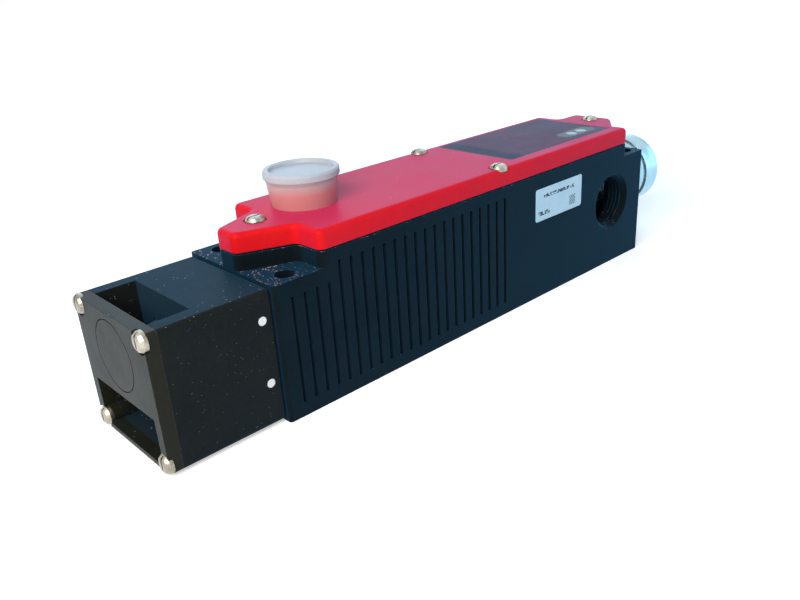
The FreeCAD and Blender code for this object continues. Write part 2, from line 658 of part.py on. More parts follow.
def head_housing():
    half = HEAD_WIDTH / 2
    x0, x1 = PLATE_BACK, HEAD_BACK
    body = plate_x(rectangle(-half, half, HEAD_Z, HEAD_TOP, EDGE_R), x0, x1)
    slot_z = HEAD_Z + SLOT_FLOOR
    channel = box(
        x0 - 1, x0 + CHANNEL_DEPTH, -FRONT_SLOT_Y / 2, FRONT_SLOT_Y / 2,
        slot_z, slot_z + FRONT_SLOT_Z - CHANNEL_STEP,
    )
    throat = box(
        x0 - 1, x0 + TOP_SLOT_X, -TOP_SLOT_Y / 2, TOP_SLOT_Y / 2, slot_z + THROAT_FLOOR, HEAD_TOP + 1
    )
    room_half = CAM_HALF + CAM_SIDE_ROOM
    cam_room = rod(Y, (CAM_X, -room_half, ROD_Z), 2 * room_half, CAM_R + CAM_ROOM)
    body = body.cut(throat).cut(channel).cut(cam_room)
    bosses = []
    for y, z in head_screw_places():
        if z < HEAD_CZ:
            inside = box(x0, x1, -half + EDGE_R / 2, half - EDGE_R / 2, HEAD_Z + EDGE_R / 2, HEAD_CZ)
            bosses.append(rod(X, (x0, y, z), CHANNEL_DEPTH, HEAD_BOSS_R).common(inside))
    body = body.multiFuse(bosses).removeSplitter()
    bore = HEAD_SCREW_LENGTH - PLATE_T + HEAD_SCREW_SINK + BOTTOM_CLEAR
    tools = [rod(X, (x0 - 1, y, z), bore + 1, COVER_SCREW_R) for y, z in head_screw_places()]
    tools.append(rod(Y, (CAM_X, -half + CAM_PIN_WALL, ROD_Z), HEAD_WIDTH, CAM_BORE_R))
    tools.append(rod(X, (CAM_X, 0, ROD_Z), HEAD_LENGTH, PLUNGER_R + CAM_ROOM))
    fit = PORT_CLEAR
    for y0, y1, z0, z1 in lug_places():
        tools.append(box(x1 - LUG_LENGTH - BOTTOM_CLEAR, x1 + 1, y0 - fit, y1 + fit, z0 - fit, z1 + fit))
    for z in pin_heights():
        for y in (-half - 1, half - PIN_LENGTH):
            tools.append(rod(Y, (PIN_X, y, z), PIN_LENGTH + 1, PIN_R))
    return cut(body, tools)


def head_front_plate():
    half = HEAD_WIDTH / 2
    x0, x1 = HEAD_FRONT, PLATE_BACK
    body = plate_x(rectangle(-half, half, HEAD_Z, HEAD_TOP, EDGE_R), x0, x1)
    slot_z = HEAD_Z + SLOT_FLOOR
    window = box(x0 - 1, x1 + 1, -FRONT_SLOT_Y / 2, FRONT_SLOT_Y / 2, slot_z, slot_z + FRONT_SLOT_Z)
    body = body.cut(window)
    bosses = []
    for y, z in head_screw_places():
        if z < HEAD_CZ:
            inside = box(x0, x1, -half + EDGE_R / 2, half - EDGE_R / 2, HEAD_Z + EDGE_R / 2, HEAD_CZ)
            bosses.append(rod(X, (x0, y, z), PLATE_T, HEAD_BOSS_R).common(inside))
    body = body.multiFuse(bosses).removeSplitter()
    tools = []
    for y, z in head_screw_places():
        tools.append(rod(X, (x0 - 1, y, z), PLATE_T + 2, COVER_SCREW_R + PLATE_SCREW_CLEAR))
        tools.append(rod(X, (x0 - 1, y, z), HEAD_SCREW_SINK + 1, PAN_HEAD_R + PLATE_SEAT_CLEAR))
    disc_z = HEAD_CZ + DISC_ABOVE
    ring = rod(X, (x0 - 1, 0, disc_z), 1 + ENGRAVING, DISC_R + ENGRAVING_W / 2)
    tools.append(ring.cut(rod(X, (x0 - 1, 0, disc_z), PLATE_T, DISC_R - ENGRAVING_W / 2)))
    return cut(body, tools)


def head_screws():
    seat_x = HEAD_FRONT + HEAD_SCREW_SINK
    return [pan_screw((seat_x, y, z), (-1, 0, 0), HEAD_SCREW_LENGTH) for y, z in head_screw_places()]


def head_gasket():
    half = HEAD_WIDTH / 2 - GASKET_INSET
    sheet = plate_x(
        rectangle(-half, half, HEAD_Z + GASKET_INSET, HEAD_TOP - GASKET_INSET, EDGE_R), HEAD_BACK, FRONT_X
    )
    tools = [rod(X, (HEAD_BACK - 1, 0, ROD_Z), HEAD_GASKET_T + 2, PLUNGER_R + CAM_ROOM)]
    fit = PORT_CLEAR
    for y0, y1, z0, z1 in lug_places():
        tools.append(box(HEAD_BACK - 1, FRONT_X + 1, y0 - fit, y1 + fit, z0 - fit, z1 + fit))
    return cut(sheet, tools)


# the head is held on four lugs of the base by cross pins
PIN_R = 1.2
PIN_LENGTH = 8.6
PIN_X = HEAD_BACK - 2.6
PIN_UP = 10.9
PIN_DOWN = 6.6
LUG_SIDE = 2.6               # lug to the head's side face
LUG_W = 5.4
LUG_HALF_H = 3.0


def pin_heights():
    return [HEAD_CZ - PIN_DOWN, HEAD_CZ + PIN_UP]


def lug_places():
    """(y0, y1, z0, z1) of the lugs, beside the cam on both sides."""
    outer = HEAD_WIDTH / 2 - LUG_SIDE
    inner = outer - LUG_W
    places = []
    for z in pin_heights():
        places.append((-outer, -inner, z - LUG_HALF_H, z + LUG_HALF_H))
        places.append((inner, outer, z - LUG_HALF_H, z + LUG_HALF_H))
    return places


def head_lugs():
    """Lugs of the base that enter the head's pockets, bored for the cross pins."""
    x0 = HEAD_BACK - LUG_LENGTH
    lugs = []
    for y0, y1, z0, z1 in lug_places():
        lug = box(x0, FRONT_X + MERGE, y0, y1, z0, z1)
        middle = (z0 + z1) / 2
        lugs.append(lug.cut(rod(Y, (PIN_X, y0 - 1, middle), y1 - y0 + 2, PIN_R)))
    return lugs


def head_pins():
    half = HEAD_WIDTH / 2
    pins = []
    for z in pin_heights():
        for y in (-half, half - PIN_LENGTH):
            pins.append(rod(Y, (PIN_X, y, z), PIN_LENGTH, PIN_R))
    return pins


# ---------------------------------------------------------------- switching cam
def cam_wheel():
    """Drum with one notch for each tongue slot and a spiral track that drives the plunger."""
    wheel = rod(Y, (CAM_X, -CAM_HALF, ROD_Z), 2 * CAM_HALF, CAM_R)
    tools = [rod(Y, (CAM_X, -CAM_HALF - 1, ROD_Z), 2 * CAM_HALF + 2, CAM_BORE_R + SHAFT_CLEAR)]
    for angle in (180 - CAM_TURN / 2, 270 - CAM_TURN / 2):
        notch = box(CAM_R - NOTCH_DEPTH, CAM_R + 2, -CAM_HALF - 1, CAM_HALF + 1, -NOTCH_W / 2, NOTCH_W / 2)
        root = rod(Y, (CAM_R - NOTCH_DEPTH, -CAM_HALF - 1, 0), 2 * CAM_HALF + 2, NOTCH_W / 2)
        tool = notch.fuse(root)
        tool.rotate(V(0, 0, 0), V(0, 1, 0), -angle)
        tool.translate(V(CAM_X, 0, ROD_Z))
        tools.append(tool)
    tools.append(track_tool())
    return cut(wheel, tools)


def track_tool():
    """What the plunger's track takes off the rim: level, then falling at a steady rate with the angle."""
    lead = 40.0
    high = CAM_R - TRACK_DROP
    fall = PLUNGER_STROKE / CAM_TURN
    points = []
    steps = 10
    for i in range(steps + 1):
        angle = -CAM_TURN + CAM_TURN * i / steps
        points.append((angle, high + fall * angle))
    inner = [(-CAM_TURN - lead / 2, high - PLUNGER_STROKE)] + points + [(lead, high)]
    spline = Part.BSplineCurve()
    spline.interpolate([polar(angle, radius) for angle, radius in points])
    edges = [Part.LineSegment(polar(*inner[0]), polar(*inner[1])).toShape(), spline.toShape()]
    level = Part.Arc(polar(0, high), polar(lead / 2, high), polar(lead, high))
    edges.append(level.toShape())
    outside = CAM_R + 2
    edges.append(Part.LineSegment(polar(lead, high), polar(lead, outside)).toShape())
    back = Part.Arc(polar(lead, outside), polar(-lead / 2, outside), polar(inner[0][0], outside))
    edges.append(back.toShape())
    edges.append(Part.LineSegment(polar(inner[0][0], outside), polar(*inner[0])).toShape())
    return Part.Face(Part.Wire(edges)).extrude(V(0, 2 * TRACK_HALF, 0))


def polar(angle, radius):
    """Point of the cam's track at an angle in degrees from +X towards +Z."""
    turn = math.radians(angle)
    return V(CAM_X + radius * math.cos(turn), -TRACK_HALF, ROD_Z + radius * math.sin(turn))


def cam_pin():
    """Axle pressed in from the far side; the near wall stays closed over it."""
    length = HEAD_WIDTH - CAM_PIN_WALL - 0.4
    return rod(Y, (CAM_X, -HEAD_WIDTH / 2 + CAM_PIN_WALL, ROD_Z), length, CAM_BORE_R)


# ---------------------------------------------------------------- plunger, lock rod and lever
STROKE_SPARE = 0.5
NOSE_TAPER = 1.6
NOTCH_BEHIND = 8.0           # lever's nose from its pivot
NOTCH_LENGTH = 6.0
NOTCH_PLAY = 0.4
ROD_X0 = CAVITY_X0 + PLUNGER_STROKE + STROKE_SPARE
ROD_X1 = BLOCK_X0 + BLOCK_WALL + PLUNGER_STROKE + STROKE_SPARE


def head_plunger():
    """Round-nosed plunger that follows the cam's track through the base's front wall."""
    nose = Part.makeSphere(NOSE_R, V(NOSE_X + NOSE_R, 0, ROD_Z))
    taper_end = NOSE_X + NOSE_R + NOSE_TAPER
    slope = [(0, 0), (0, NOSE_R), (NOSE_TAPER, PLUNGER_R), (NOSE_TAPER, 0)]
    cone = turned(slope, (NOSE_X + NOSE_R, 0, ROD_Z), X)
    shank = rod(X, (taper_end, 0, ROD_Z), ROD_X0 - taper_end, PLUNGER_R)
    return fuse([shank, cone, nose])


def latch_x():
    """Back face of the notch: the lever's nose drops in once the plunger has gone forward."""
    return PIVOT_X - NOTCH_BEHIND + PLUNGER_STROKE + NOTCH_PLAY


def lock_rod():
    """Square rod with the latch notch on top and a guide foot below."""
    z0, z1 = ROD_Z - ROD_HALF, ROD_Z + ROD_HALF
    bar = box(ROD_X0, ROD_X1, -ROD_HALF, ROD_HALF, z0, z1)
    x0 = latch_x()
    notch = box(x0, x0 + NOTCH_LENGTH, -ROD_HALF - 1, ROD_HALF + 1, z1 - LATCH_DEPTH, z1 + 1)
    return bar.cut(notch)


def lock_lever():
    """Bell-crank: nose over the rod, slotted arm on the armature's link pin."""
    corners = [
        (-11.0, -LEVER_ABOVE + ROD_HALF + 0.3, 0.6), (-8.0, -LEVER_ABOVE + ROD_HALF + 0.3, 0.6),
        (-7.2, -2.4, 1.2), (0.6, -3.2, 1.6), (3.0, -0.4, 1.6), (2.6, LINK_ABOVE + 6.0, 1.2),
        (-2.2, LINK_ABOVE + 6.0, 1.2), (-3.0, 2.8, 2.0), (-10.4, 1.4, 1.6),
    ]
    moved = [(PIVOT_X + u, PIVOT_Z + v, r) for u, v, r in corners]
    plate = plate_y(moved, -LEVER_T / 2, LEVER_T / 2)
    slot_r = LINK_R + 0.12
    slot = rectangle(
        PIVOT_X - slot_r, PIVOT_X + slot_r, PIVOT_Z + LINK_ABOVE - slot_r - 0.3,
        PIVOT_Z + LINK_ABOVE + slot_r + 0.5, slot_r - 0.05,
    )
    tools = [
        rod(Y, (PIVOT_X, -LEVER_T, PIVOT_Z), 2 * LEVER_T, PIVOT_R + SHAFT_CLEAR),
        plate_y(slot, -LEVER_T, LEVER_T),
    ]
    return cut(plate, tools)


def lever_pin():
    half = ROD_HALF + EAR_GAP + EAR_T + 0.4
    return rod(Y, (PIVOT_X, -half, PIVOT_Z), 2 * half, PIVOT_R)


# ---------------------------------------------------------------- solenoid
YOKE_R = 1.5
CORE_LENGTH = 8.0
CORE_RIVET_R = 2.5
CORE_HEAD_R = 3.6
CORE_HEAD_T = 1.0
SPRING_LENGTH = 7.0
SPRING_R = 2.6
SPRING_BORE_R = 1.9
SLEEVE_T = 1.0               # bobbin's tube
BOBBIN_FLANGE_T = 1.2
WIRE_BELOW = 0.5             # winding below the flanges' edge
YOKE_SCREW_INSET = 4.0
FORK_AHEAD = 3.2             # armature's forked end, ahead of and behind the link pin
FORK_BEHIND = 5.4
FORK_PLAY = 0.3


def solenoid_yoke():
    """Folded steel frame, open at both sides, bored for the armature."""
    x0, x1 = YOKE_X0, YOKE_X1
    z0, z1 = YOKE_Z0, YOKE_Z0 + YOKE_H
    outer = plate_y(rectangle(x0, x1, z0, z1, YOKE_R), -YOKE_W / 2, YOKE_W / 2)
    inner = box(x0 + YOKE_T, x1 - YOKE_T, -YOKE_W, YOKE_W, z0 + YOKE_T, z1 - YOKE_T)
    bore = rod(X, (x0 - 1, 0, COIL_Z), YOKE_T + 2, ARMATURE_R + FORK_PLAY)
    core_bore = rod(X, (x1 - YOKE_T - 1, 0, COIL_Z), YOKE_T + 2, CORE_RIVET_R)
    floor_holes = [rod(Z, (x, y, z0 - 1), YOKE_T + 2, SMALL_SCREW_R) for x, y in yoke_screw_places()]
    return cut(outer, [inner, bore, core_bore] + floor_holes)


def solenoid_bobbin():
    length = SOLENOID_LENGTH - 2 * YOKE_T
    tube_r = ARMATURE_R + SLEEVE_T
    bore_r = ARMATURE_R + SHAFT_CLEAR
    rear = length - BOBBIN_FLANGE_T
    profile = [
        (0, bore_r), (0, COIL_R), (BOBBIN_FLANGE_T, COIL_R), (BOBBIN_FLANGE_T, tube_r),
        (rear, tube_r), (rear, COIL_R), (length, COIL_R), (length, bore_r),
    ]
    return turned(profile, (YOKE_X0 + YOKE_T, 0, COIL_Z), X)


def solenoid_coil():
    ends = YOKE_T + BOBBIN_FLANGE_T
    length = SOLENOID_LENGTH - 2 * ends
    inner, outer = ARMATURE_R + SLEEVE_T, COIL_R - WIRE_BELOW
    profile = [(0, inner), (0, outer), (length, outer), (length, inner)]
    return turned(profile, (YOKE_X0 + ends, 0, COIL_Z), X)


def solenoid_core():
    """Fixed core riveted in the yoke's rear plate."""
    x1 = YOKE_X1 - YOKE_T
    plug = rod(X, (x1 - CORE_LENGTH, 0, COIL_Z), CORE_LENGTH, ARMATURE_R)
    rivet = rod(X, (x1 - MERGE, 0, COIL_Z), YOKE_T + 2 * MERGE, CORE_RIVET_R)
    head = rod(X, (YOKE_X1, 0, COIL_Z), CORE_HEAD_T, CORE_HEAD_R)
    return fuse([plug, rivet, head])


def armature_end():
    return YOKE_X1 - YOKE_T - CORE_LENGTH - SPRING_LENGTH


def armature():
    """Plunger of the solenoid with a forked end for the lever."""
    x0 = PIVOT_X - FORK_AHEAD
    bar = rod(X, (x0, 0, COIL_Z), armature_end() - x0, ARMATURE_R)
    half = LEVER_T / 2 + FORK_PLAY
    reach = 1.5 * ARMATURE_R
    fork = box(x0 - 1, PIVOT_X + FORK_BEHIND, -half, half, COIL_Z - reach, COIL_Z + reach)
    hole = rod(Y, (PIVOT_X, -reach, COIL_Z), 2 * reach, LINK_R)
    return cut(bar, [fork, hole])


def link_pin():
    half = ARMATURE_R - 0.3
    return rod(Y, (PIVOT_X, -half, COIL_Z), 2 * half, LINK_R)


def armature_spring():
    ring = rod(X, (armature_end(), 0, COIL_Z), SPRING_LENGTH, SPRING_R)
    return ring.cut(rod(X, (armature_end() - 1, 0, COIL_Z), SPRING_LENGTH + 2, SPRING_BORE_R))


def yoke_screw_places():
    rail_y = ROD_HALF + RAIL_GAP + RAIL_T / 2
    inset = YOKE_T + YOKE_SCREW_INSET
    ends = (YOKE_X0 + inset, YOKE_X1 - inset)
    return [(x, y) for x in ends for y in (-rail_y, rail_y)]


def solenoid_screws():
    """Screws through the yoke's floor into the rails."""
    screws = []
    for x, y in yoke_screw_places():
        shaft = rod(Z, (x, y, YOKE_Z0 - SMALL_GRIP), SMALL_GRIP + YOKE_T, SMALL_SCREW_R)
        head = rod(Z, (x, y, YOKE_Z0 + YOKE_T), SMALL_HEAD_H, SMALL_HEAD_R)
        screws.append(fuse([shaft, head]))
    return screws


# ---------------------------------------------------------------- contact block
CARRIER_SPRING_LENGTH = 5.5
CARRIER_X1 = BLOCK_X1 - BLOCK_WALL - CARRIER_SPRING_LENGTH
CARRIER_HALF_H = 4.5
BRIDGE_T = 0.8
BRIDGE_HALF = 8.6
BRIDGE_HALF_H = 1.0
BRIDGE_FIRST = 3.5           # first bridge behind the lock rod's end
BRIDGE_PITCH = 7.0
BRIDGE_X = (ROD_X1 + BRIDGE_FIRST, ROD_X1 + BRIDGE_FIRST + BRIDGE_PITCH)
CONTACT_GAP = 0.1
CONTACT_T = 0.8
CONTACT_OVERLAP = 2.2        # fixed contact over the bridge's end
CONTACT_FOOT = 3.0           # fixed contact below the rod's axis
BLOCK_EDGE_R = 0.8
GATE_PLAY = 0.15
LID_T = 1.5
VENT_COUNT = 4
VENT_PITCH = 5.0
VENT_W = 1.6
VENT_R = 0.7
VENT_HALF = 7.0
FOOT_T = 2.5
FOOT_Z = 9.0
FOOT_SCREW_Y = 8.0
FOOT_EDGE = 3.0              # foot beyond its screws
FOOT_GRIP = 4.5
FOOT_BOSS_R = 2.3
FOOT_HEAD_H = 1.4


def block_foot(x1):
    half = FOOT_SCREW_Y + FOOT_EDGE
    return plate_z(rectangle(x1 - 1, x1 + FOOT_LENGTH, -half, half, BLOCK_EDGE_R), FOOT_Z, FOOT_Z + FOOT_T)


def foot_screw_places():
    terminal_end = TERMINAL_X0 + TERMINAL_LENGTH
    return [(x + FOOT_LENGTH / 2, y) for x in (BLOCK_X1, terminal_end) for y in (-FOOT_SCREW_Y, FOOT_SCREW_Y)]


def foot_screw_holes(places):
    return [rod(Z, (x, y, FOOT_Z - 1), FOOT_T + 2, SMALL_SCREW_R + PORT_CLEAR) for x, y in places]


def foot_bosses():
    """Bosses of the base under the feet of the contact block and the terminal block."""
    height = FOOT_Z - FLOOR_T + MERGE
    return [rod(Z, (x, y, FLOOR_T - MERGE), height, FOOT_BOSS_R) for x, y in foot_screw_places()]


def block_screws():
    screws = []
    for x, y in foot_screw_places():
        shaft = rod(Z, (x, y, FOOT_Z - FOOT_GRIP), FOOT_GRIP + FOOT_T, SMALL_SCREW_R)
        head = rod(Z, (x, y, FOOT_Z + FOOT_T), FOOT_HEAD_H, SMALL_HEAD_R)
        screws.append(fuse([shaft, head]))
    return screws


def contact_block():
    top = FLOOR_T + BLOCK_H
    half = BLOCK_W / 2
    body = plate_z(rectangle(BLOCK_X0, BLOCK_X1, -half, half, BLOCK_EDGE_R), FLOOR_T, top)
    inside = box(
        BLOCK_X0 + BLOCK_WALL, BLOCK_X1 - BLOCK_WALL, -half + BLOCK_WALL, half - BLOCK_WALL,
        FLOOR_T + BLOCK_WALL, top + 1,
    )
    gate = ROD_HALF + GATE_PLAY
    hole = box(BLOCK_X0 - 1, BLOCK_X0 + BLOCK_WALL + 1, -gate, gate, ROD_Z - gate, ROD_Z + gate)
    body = body.cut(inside).cut(hole)
    body = body.fuse(block_foot(BLOCK_X1)).removeSplitter()
    return cut(body, foot_screw_holes(foot_screw_places()[:2]))


def contact_block_lid():
    top = FLOOR_T + BLOCK_H
    half = BLOCK_W / 2
    lid = plate_z(rectangle(BLOCK_X0, BLOCK_X1, -half, half, BLOCK_EDGE_R), top, top + LID_T)
    vents = []
    for i in range(VENT_COUNT):
        x = BLOCK_X0 + (i + 1) * VENT_PITCH
        outline = rectangle(x, x + VENT_W, -VENT_HALF, VENT_HALF, VENT_R)
        vents.append(plate_z(outline, top - 1, top + LID_T + 1))
    return cut(lid, vents)


def contact_carrier():
    """Slide pushed by the lock rod; it carries the two bridges through its windows."""
    z0, z1 = ROD_Z - BRIDGE_HALF_H, ROD_Z + BRIDGE_HALF_H
    body = box(ROD_X1, CARRIER_X1, -ROD_HALF, ROD_HALF, ROD_Z - CARRIER_HALF_H, ROD_Z + CARRIER_HALF_H)
    windows = [box(x, x + BRIDGE_T, -ROD_HALF - 1, ROD_HALF + 1, z0, z1) for x in BRIDGE_X]
    return cut(body, windows)


def contact_bridges():
    z0, z1 = ROD_Z - BRIDGE_HALF_H, ROD_Z + BRIDGE_HALF_H
    return [box(x, x + BRIDGE_T, -BRIDGE_HALF, BRIDGE_HALF, z0, z1) for x in BRIDGE_X]


def fixed_contacts():
    """Uprights on the side walls: the front pair makes when the guard closes, the rear pair breaks."""
    wall = BLOCK_W / 2 - BLOCK_WALL
    x_make = BRIDGE_X[0] - PLUNGER_STROKE - CONTACT_GAP
    x_break = BRIDGE_X[1] + BRIDGE_T + CONTACT_GAP
    strips = []
    for x0, x1 in ((x_make - CONTACT_T, x_make), (x_break, x_break + CONTACT_T)):
        for side in (-1, 1):
            y0, y1 = sorted((side * (BRIDGE_HALF - CONTACT_OVERLAP), side * wall))
            strips.append(box(x0, x1, y0, y1, ROD_Z - CONTACT_FOOT, FLOOR_T + BLOCK_H - 1.0))
    return strips


def carrier_spring():
    ring = rod(X, (CARRIER_X1, 0, ROD_Z), CARRIER_SPRING_LENGTH, SPRING_R)
    return ring.cut(rod(X, (CARRIER_X1 - 1, 0, ROD_Z), CARRIER_SPRING_LENGTH + 2, SPRING_BORE_R))


# ---------------------------------------------------------------- terminals and earth screw
TERMINAL_STEP_Z = 13.0       # height of the face with the wire mouths
WIRE_MOUTH_R = 1.3
TERMINAL_SCREW_R = 1.6
TERMINAL_SCREW_X = 7.0       # from the block's front
TERMINAL_SCREW_H = 2.6
TERMINAL_SLOT_HALF = 0.3
TERMINAL_SLOT_DEPTH = 0.8
WELL_DEPTH = 4.0
MOUTH_DEPTH = 7.0
MOUTH_BELOW = 2.9            # wire mouths below the step's edge
STEP_SLOPE = 5.0
TERMINAL_END = 2.0           # outer pitch edges to the block's ends


def terminal_places():
    pitch = (TERMINAL_W - 2 * TERMINAL_END) / TERMINAL_COUNT
    return [-TERMINAL_W / 2 + TERMINAL_END + pitch * (i + 0.5) for i in range(TERMINAL_COUNT)]


def terminal_block():
    """Stepped row of wire clamps with a screw well and a wire mouth for each."""
    x0, x1 = TERMINAL_X0, TERMINAL_X0 + TERMINAL_LENGTH
    top = FLOOR_T + TERMINAL_H
    corners = [
        (x0, FLOOR_T, 0.5), (x1, FLOOR_T, 0.5), (x1, FLOOR_T + TERMINAL_STEP_Z, EDGE_R),
        (x1 - STEP_SLOPE, top, EDGE_R), (x0, top, 0.5),
    ]
    body = plate_y(corners, -TERMINAL_W / 2, TERMINAL_W / 2)
    body = body.fuse(block_foot(x1)).removeSplitter()
    tools = foot_screw_holes(foot_screw_places()[2:])
    mouth_z = FLOOR_T + TERMINAL_STEP_Z - MOUTH_BELOW
    well_x, well_r = x0 + TERMINAL_SCREW_X, TERMINAL_SCREW_R + PORT_CLEAR
    for y in terminal_places():
        tools.append(rod(Z, (well_x, y, top - WELL_DEPTH), WELL_DEPTH + 1, well_r))
        tools.append(rod(X, (x1 - MOUTH_DEPTH, y, mouth_z), MOUTH_DEPTH + 1, WIRE_MOUTH_R))
    return cut(body, tools)


def terminal_screws():
    floor_z = FLOOR_T + TERMINAL_H - WELL_DEPTH
    x = TERMINAL_X0 + TERMINAL_SCREW_X
    reach = 2 * TERMINAL_SCREW_R
    half = TERMINAL_SLOT_HALF
    screws = []
    for y in terminal_places():
        body = rod(Z, (x, y, floor_z), TERMINAL_SCREW_H, TERMINAL_SCREW_R)
        slot_z = floor_z + TERMINAL_SCREW_H - TERMINAL_SLOT_DEPTH
        slot = box(x - reach, x + reach, y - half, y + half, slot_z, FLOOR_T + TERMINAL_H)
        screws.append(body.cut(slot))
    return screws


EARTH_BEHIND = 9.5           # boss's axis behind the terminal block
EARTH_X = TERMINAL_X0 + TERMINAL_LENGTH + EARTH_BEHIND
EARTH_Y = 12.0
EARTH_BOSS_R = 3.6
EARTH_BOSS_H = 4.5


def earth_boss():
    return rod(Z, (EARTH_X, EARTH_Y, FLOOR_T - MERGE), EARTH_BOSS_H + MERGE, EARTH_BOSS_R)


def earth_screw():
    return pan_screw((EARTH_X, EARTH_Y, FLOOR_T + EARTH_BOSS_H), Z, EARTH_BOSS_H)


# ---------------------------------------------------------------- connector
FLANGE_T = 3.2
SEAL_T = 0.8
RECESS_DEPTH = 15.0
RECESS_R = 9.8
WIRE_HOLE_R = 5.5
RING_COUNT = 6               # raised rings of the threaded collar
RING_PITCH = 1.6
RING_W = 0.5
RING_FLANK = 0.5
RING_TOP = CONNECTOR_R - 0.5
RING_ROOT = CONNECTOR_R - 1.1
COLLAR_GAP = 1.0
SHELL_EDGE = 0.4
MOUTH_EDGE = 0.5
SHOULDER_GAP = 0.6           # groove between the last ring and the outer band
BAND_LENGTH = 1.6            # rounding of the outer band at the mouth
BAND_DROP = 1.4
NUT_T = 3.0
NUT_RING = 2.0


def connector_shell():
    """Plated round shell with a threaded collar, its spigot passing through the end wall."""
    end = CONNECTOR_LENGTH
    back = -END_WALL - NUT_T - SEAL_T
    collar = SEAL_T + FLANGE_T
    profile = [
        (back, WIRE_HOLE_R), (back, SPIGOT_R - MOUTH_EDGE), (back + MOUTH_EDGE, SPIGOT_R),
        (SEAL_T, SPIGOT_R), (SEAL_T, RING_TOP - SHELL_EDGE), (SEAL_T + SHELL_EDGE, RING_TOP),
        (collar - SHELL_EDGE, RING_TOP), (collar, RING_ROOT),
    ]
    for i in range(RING_COUNT):
        foot = collar + COLLAR_GAP + i * RING_PITCH
        profile += [(foot, RING_ROOT), (foot + RING_FLANK, RING_TOP), (foot + RING_FLANK + RING_W, RING_TOP)]
    shoulder = collar + COLLAR_GAP + RING_COUNT * RING_PITCH
    band = shoulder + SHOULDER_GAP
    bottom = end - RECESS_DEPTH
    profile += [
        (shoulder, RING_ROOT), (band, RING_ROOT), (band + RING_FLANK, CONNECTOR_R),
        (end - BAND_LENGTH, CONNECTOR_R), (end - MOUTH_EDGE, CONNECTOR_R - MOUTH_EDGE),
        (end, CONNECTOR_R - BAND_DROP), (end, RECESS_R + MOUTH_EDGE), (end - MOUTH_EDGE, RECESS_R),
        (bottom, RECESS_R), (bottom, WIRE_HOLE_R),
    ]
    return turned(profile, (REAR_X, 0, CONNECTOR_Z), X)


def connector_seal():
    ring = rod(X, (REAR_X, 0, CONNECTOR_Z), SEAL_T, CONNECTOR_R - 2.0)
    return ring.cut(rod(X, (REAR_X - 1, 0, CONNECTOR_Z), SEAL_T + 2, SPIGOT_R))


def connector_nut():
    """Hexagon locknut inside the end pocket."""
    across = SPIGOT_R + NUT_RING
    x1 = REAR_X - END_WALL
    points = []
    for i in range(7):
        turn = math.radians(60 * i + 30)
        points.append(V(x1 - NUT_T, across * math.cos(turn), CONNECTOR_Z + across * math.sin(turn)))
    nut = Part.Face(Part.makePolygon(points)).extrude(V(NUT_T, 0, 0))
    return nut.cut(rod(X, (x1 - NUT_T - 1, 0, CONNECTOR_Z), NUT_T + 2, SPIGOT_R))


OUTER_PINS = 9
OUTER_PIN_R = 6.6
INNER_PINS = 3
INNER_PIN_R = 2.6


def pin_circle():
    """Contact places of the connector: a ring round the edge and a few inside."""
    places = []
    for count, radius in ((OUTER_PINS, OUTER_PIN_R), (INNER_PINS, INNER_PIN_R)):
        for i in range(count):
            turn = 2 * math.pi * i / count
            places.append((radius * math.cos(turn), CONNECTOR_Z + radius * math.sin(turn)))
    return places


INSERT_T = 6.0
CONTACT_R = 0.5
CONTACT_LENGTH = 11.5
KEY_LENGTH = 1.5
KEY_HALF = 1.0
KEY_DEPTH = 1.4


def connector_insert():
    x0 = REAR_X + CONNECTOR_LENGTH - RECESS_DEPTH
    disc = rod(X, (x0, 0, CONNECTOR_Z), INSERT_T, RECESS_R)
    holes = [rod(X, (x0 - 1, y, z), INSERT_T + 2, CONTACT_R) for y, z in pin_circle()]
    x1 = x0 + INSERT_T
    key_z = CONNECTOR_Z + RECESS_R
    key = box(x1 - KEY_LENGTH, x1 + 1, -KEY_HALF, KEY_HALF, key_z - KEY_DEPTH, key_z + 1)
    return cut(disc, holes + [key])


def connector_pins():
    x0 = REAR_X + CONNECTOR_LENGTH - RECESS_DEPTH
    return [rod(X, (x0, y, z), CONTACT_LENGTH, CONTACT_R) for y, z in pin_circle()]


# ---------------------------------------------------------------- side label
SIDE_LABEL_X = 18.3
SIDE_LABEL_L = 25.4
SIDE_LABEL_H = 11.0
SIDE_LABEL_Z = 27.4
SIDE_LABEL_T = 0.15


def side_label():
    x1 = SIDE_LABEL_X + SIDE_LABEL_L
    z1 = SIDE_LABEL_Z + SIDE_LABEL_H
    return plate_y(rectangle(SIDE_LABEL_X, x1, SIDE_LABEL_Z, z1, 0.8), -HALF_W - SIDE_LABEL_T, -HALF_W)


# ---------------------------------------------------------------- all nodes
def cover_screws():
    return [pan_screw((x, y, COVER_SCREW_SEAT), Z, COVER_SCREW_LENGTH) for x, y in cover_screw_places()]


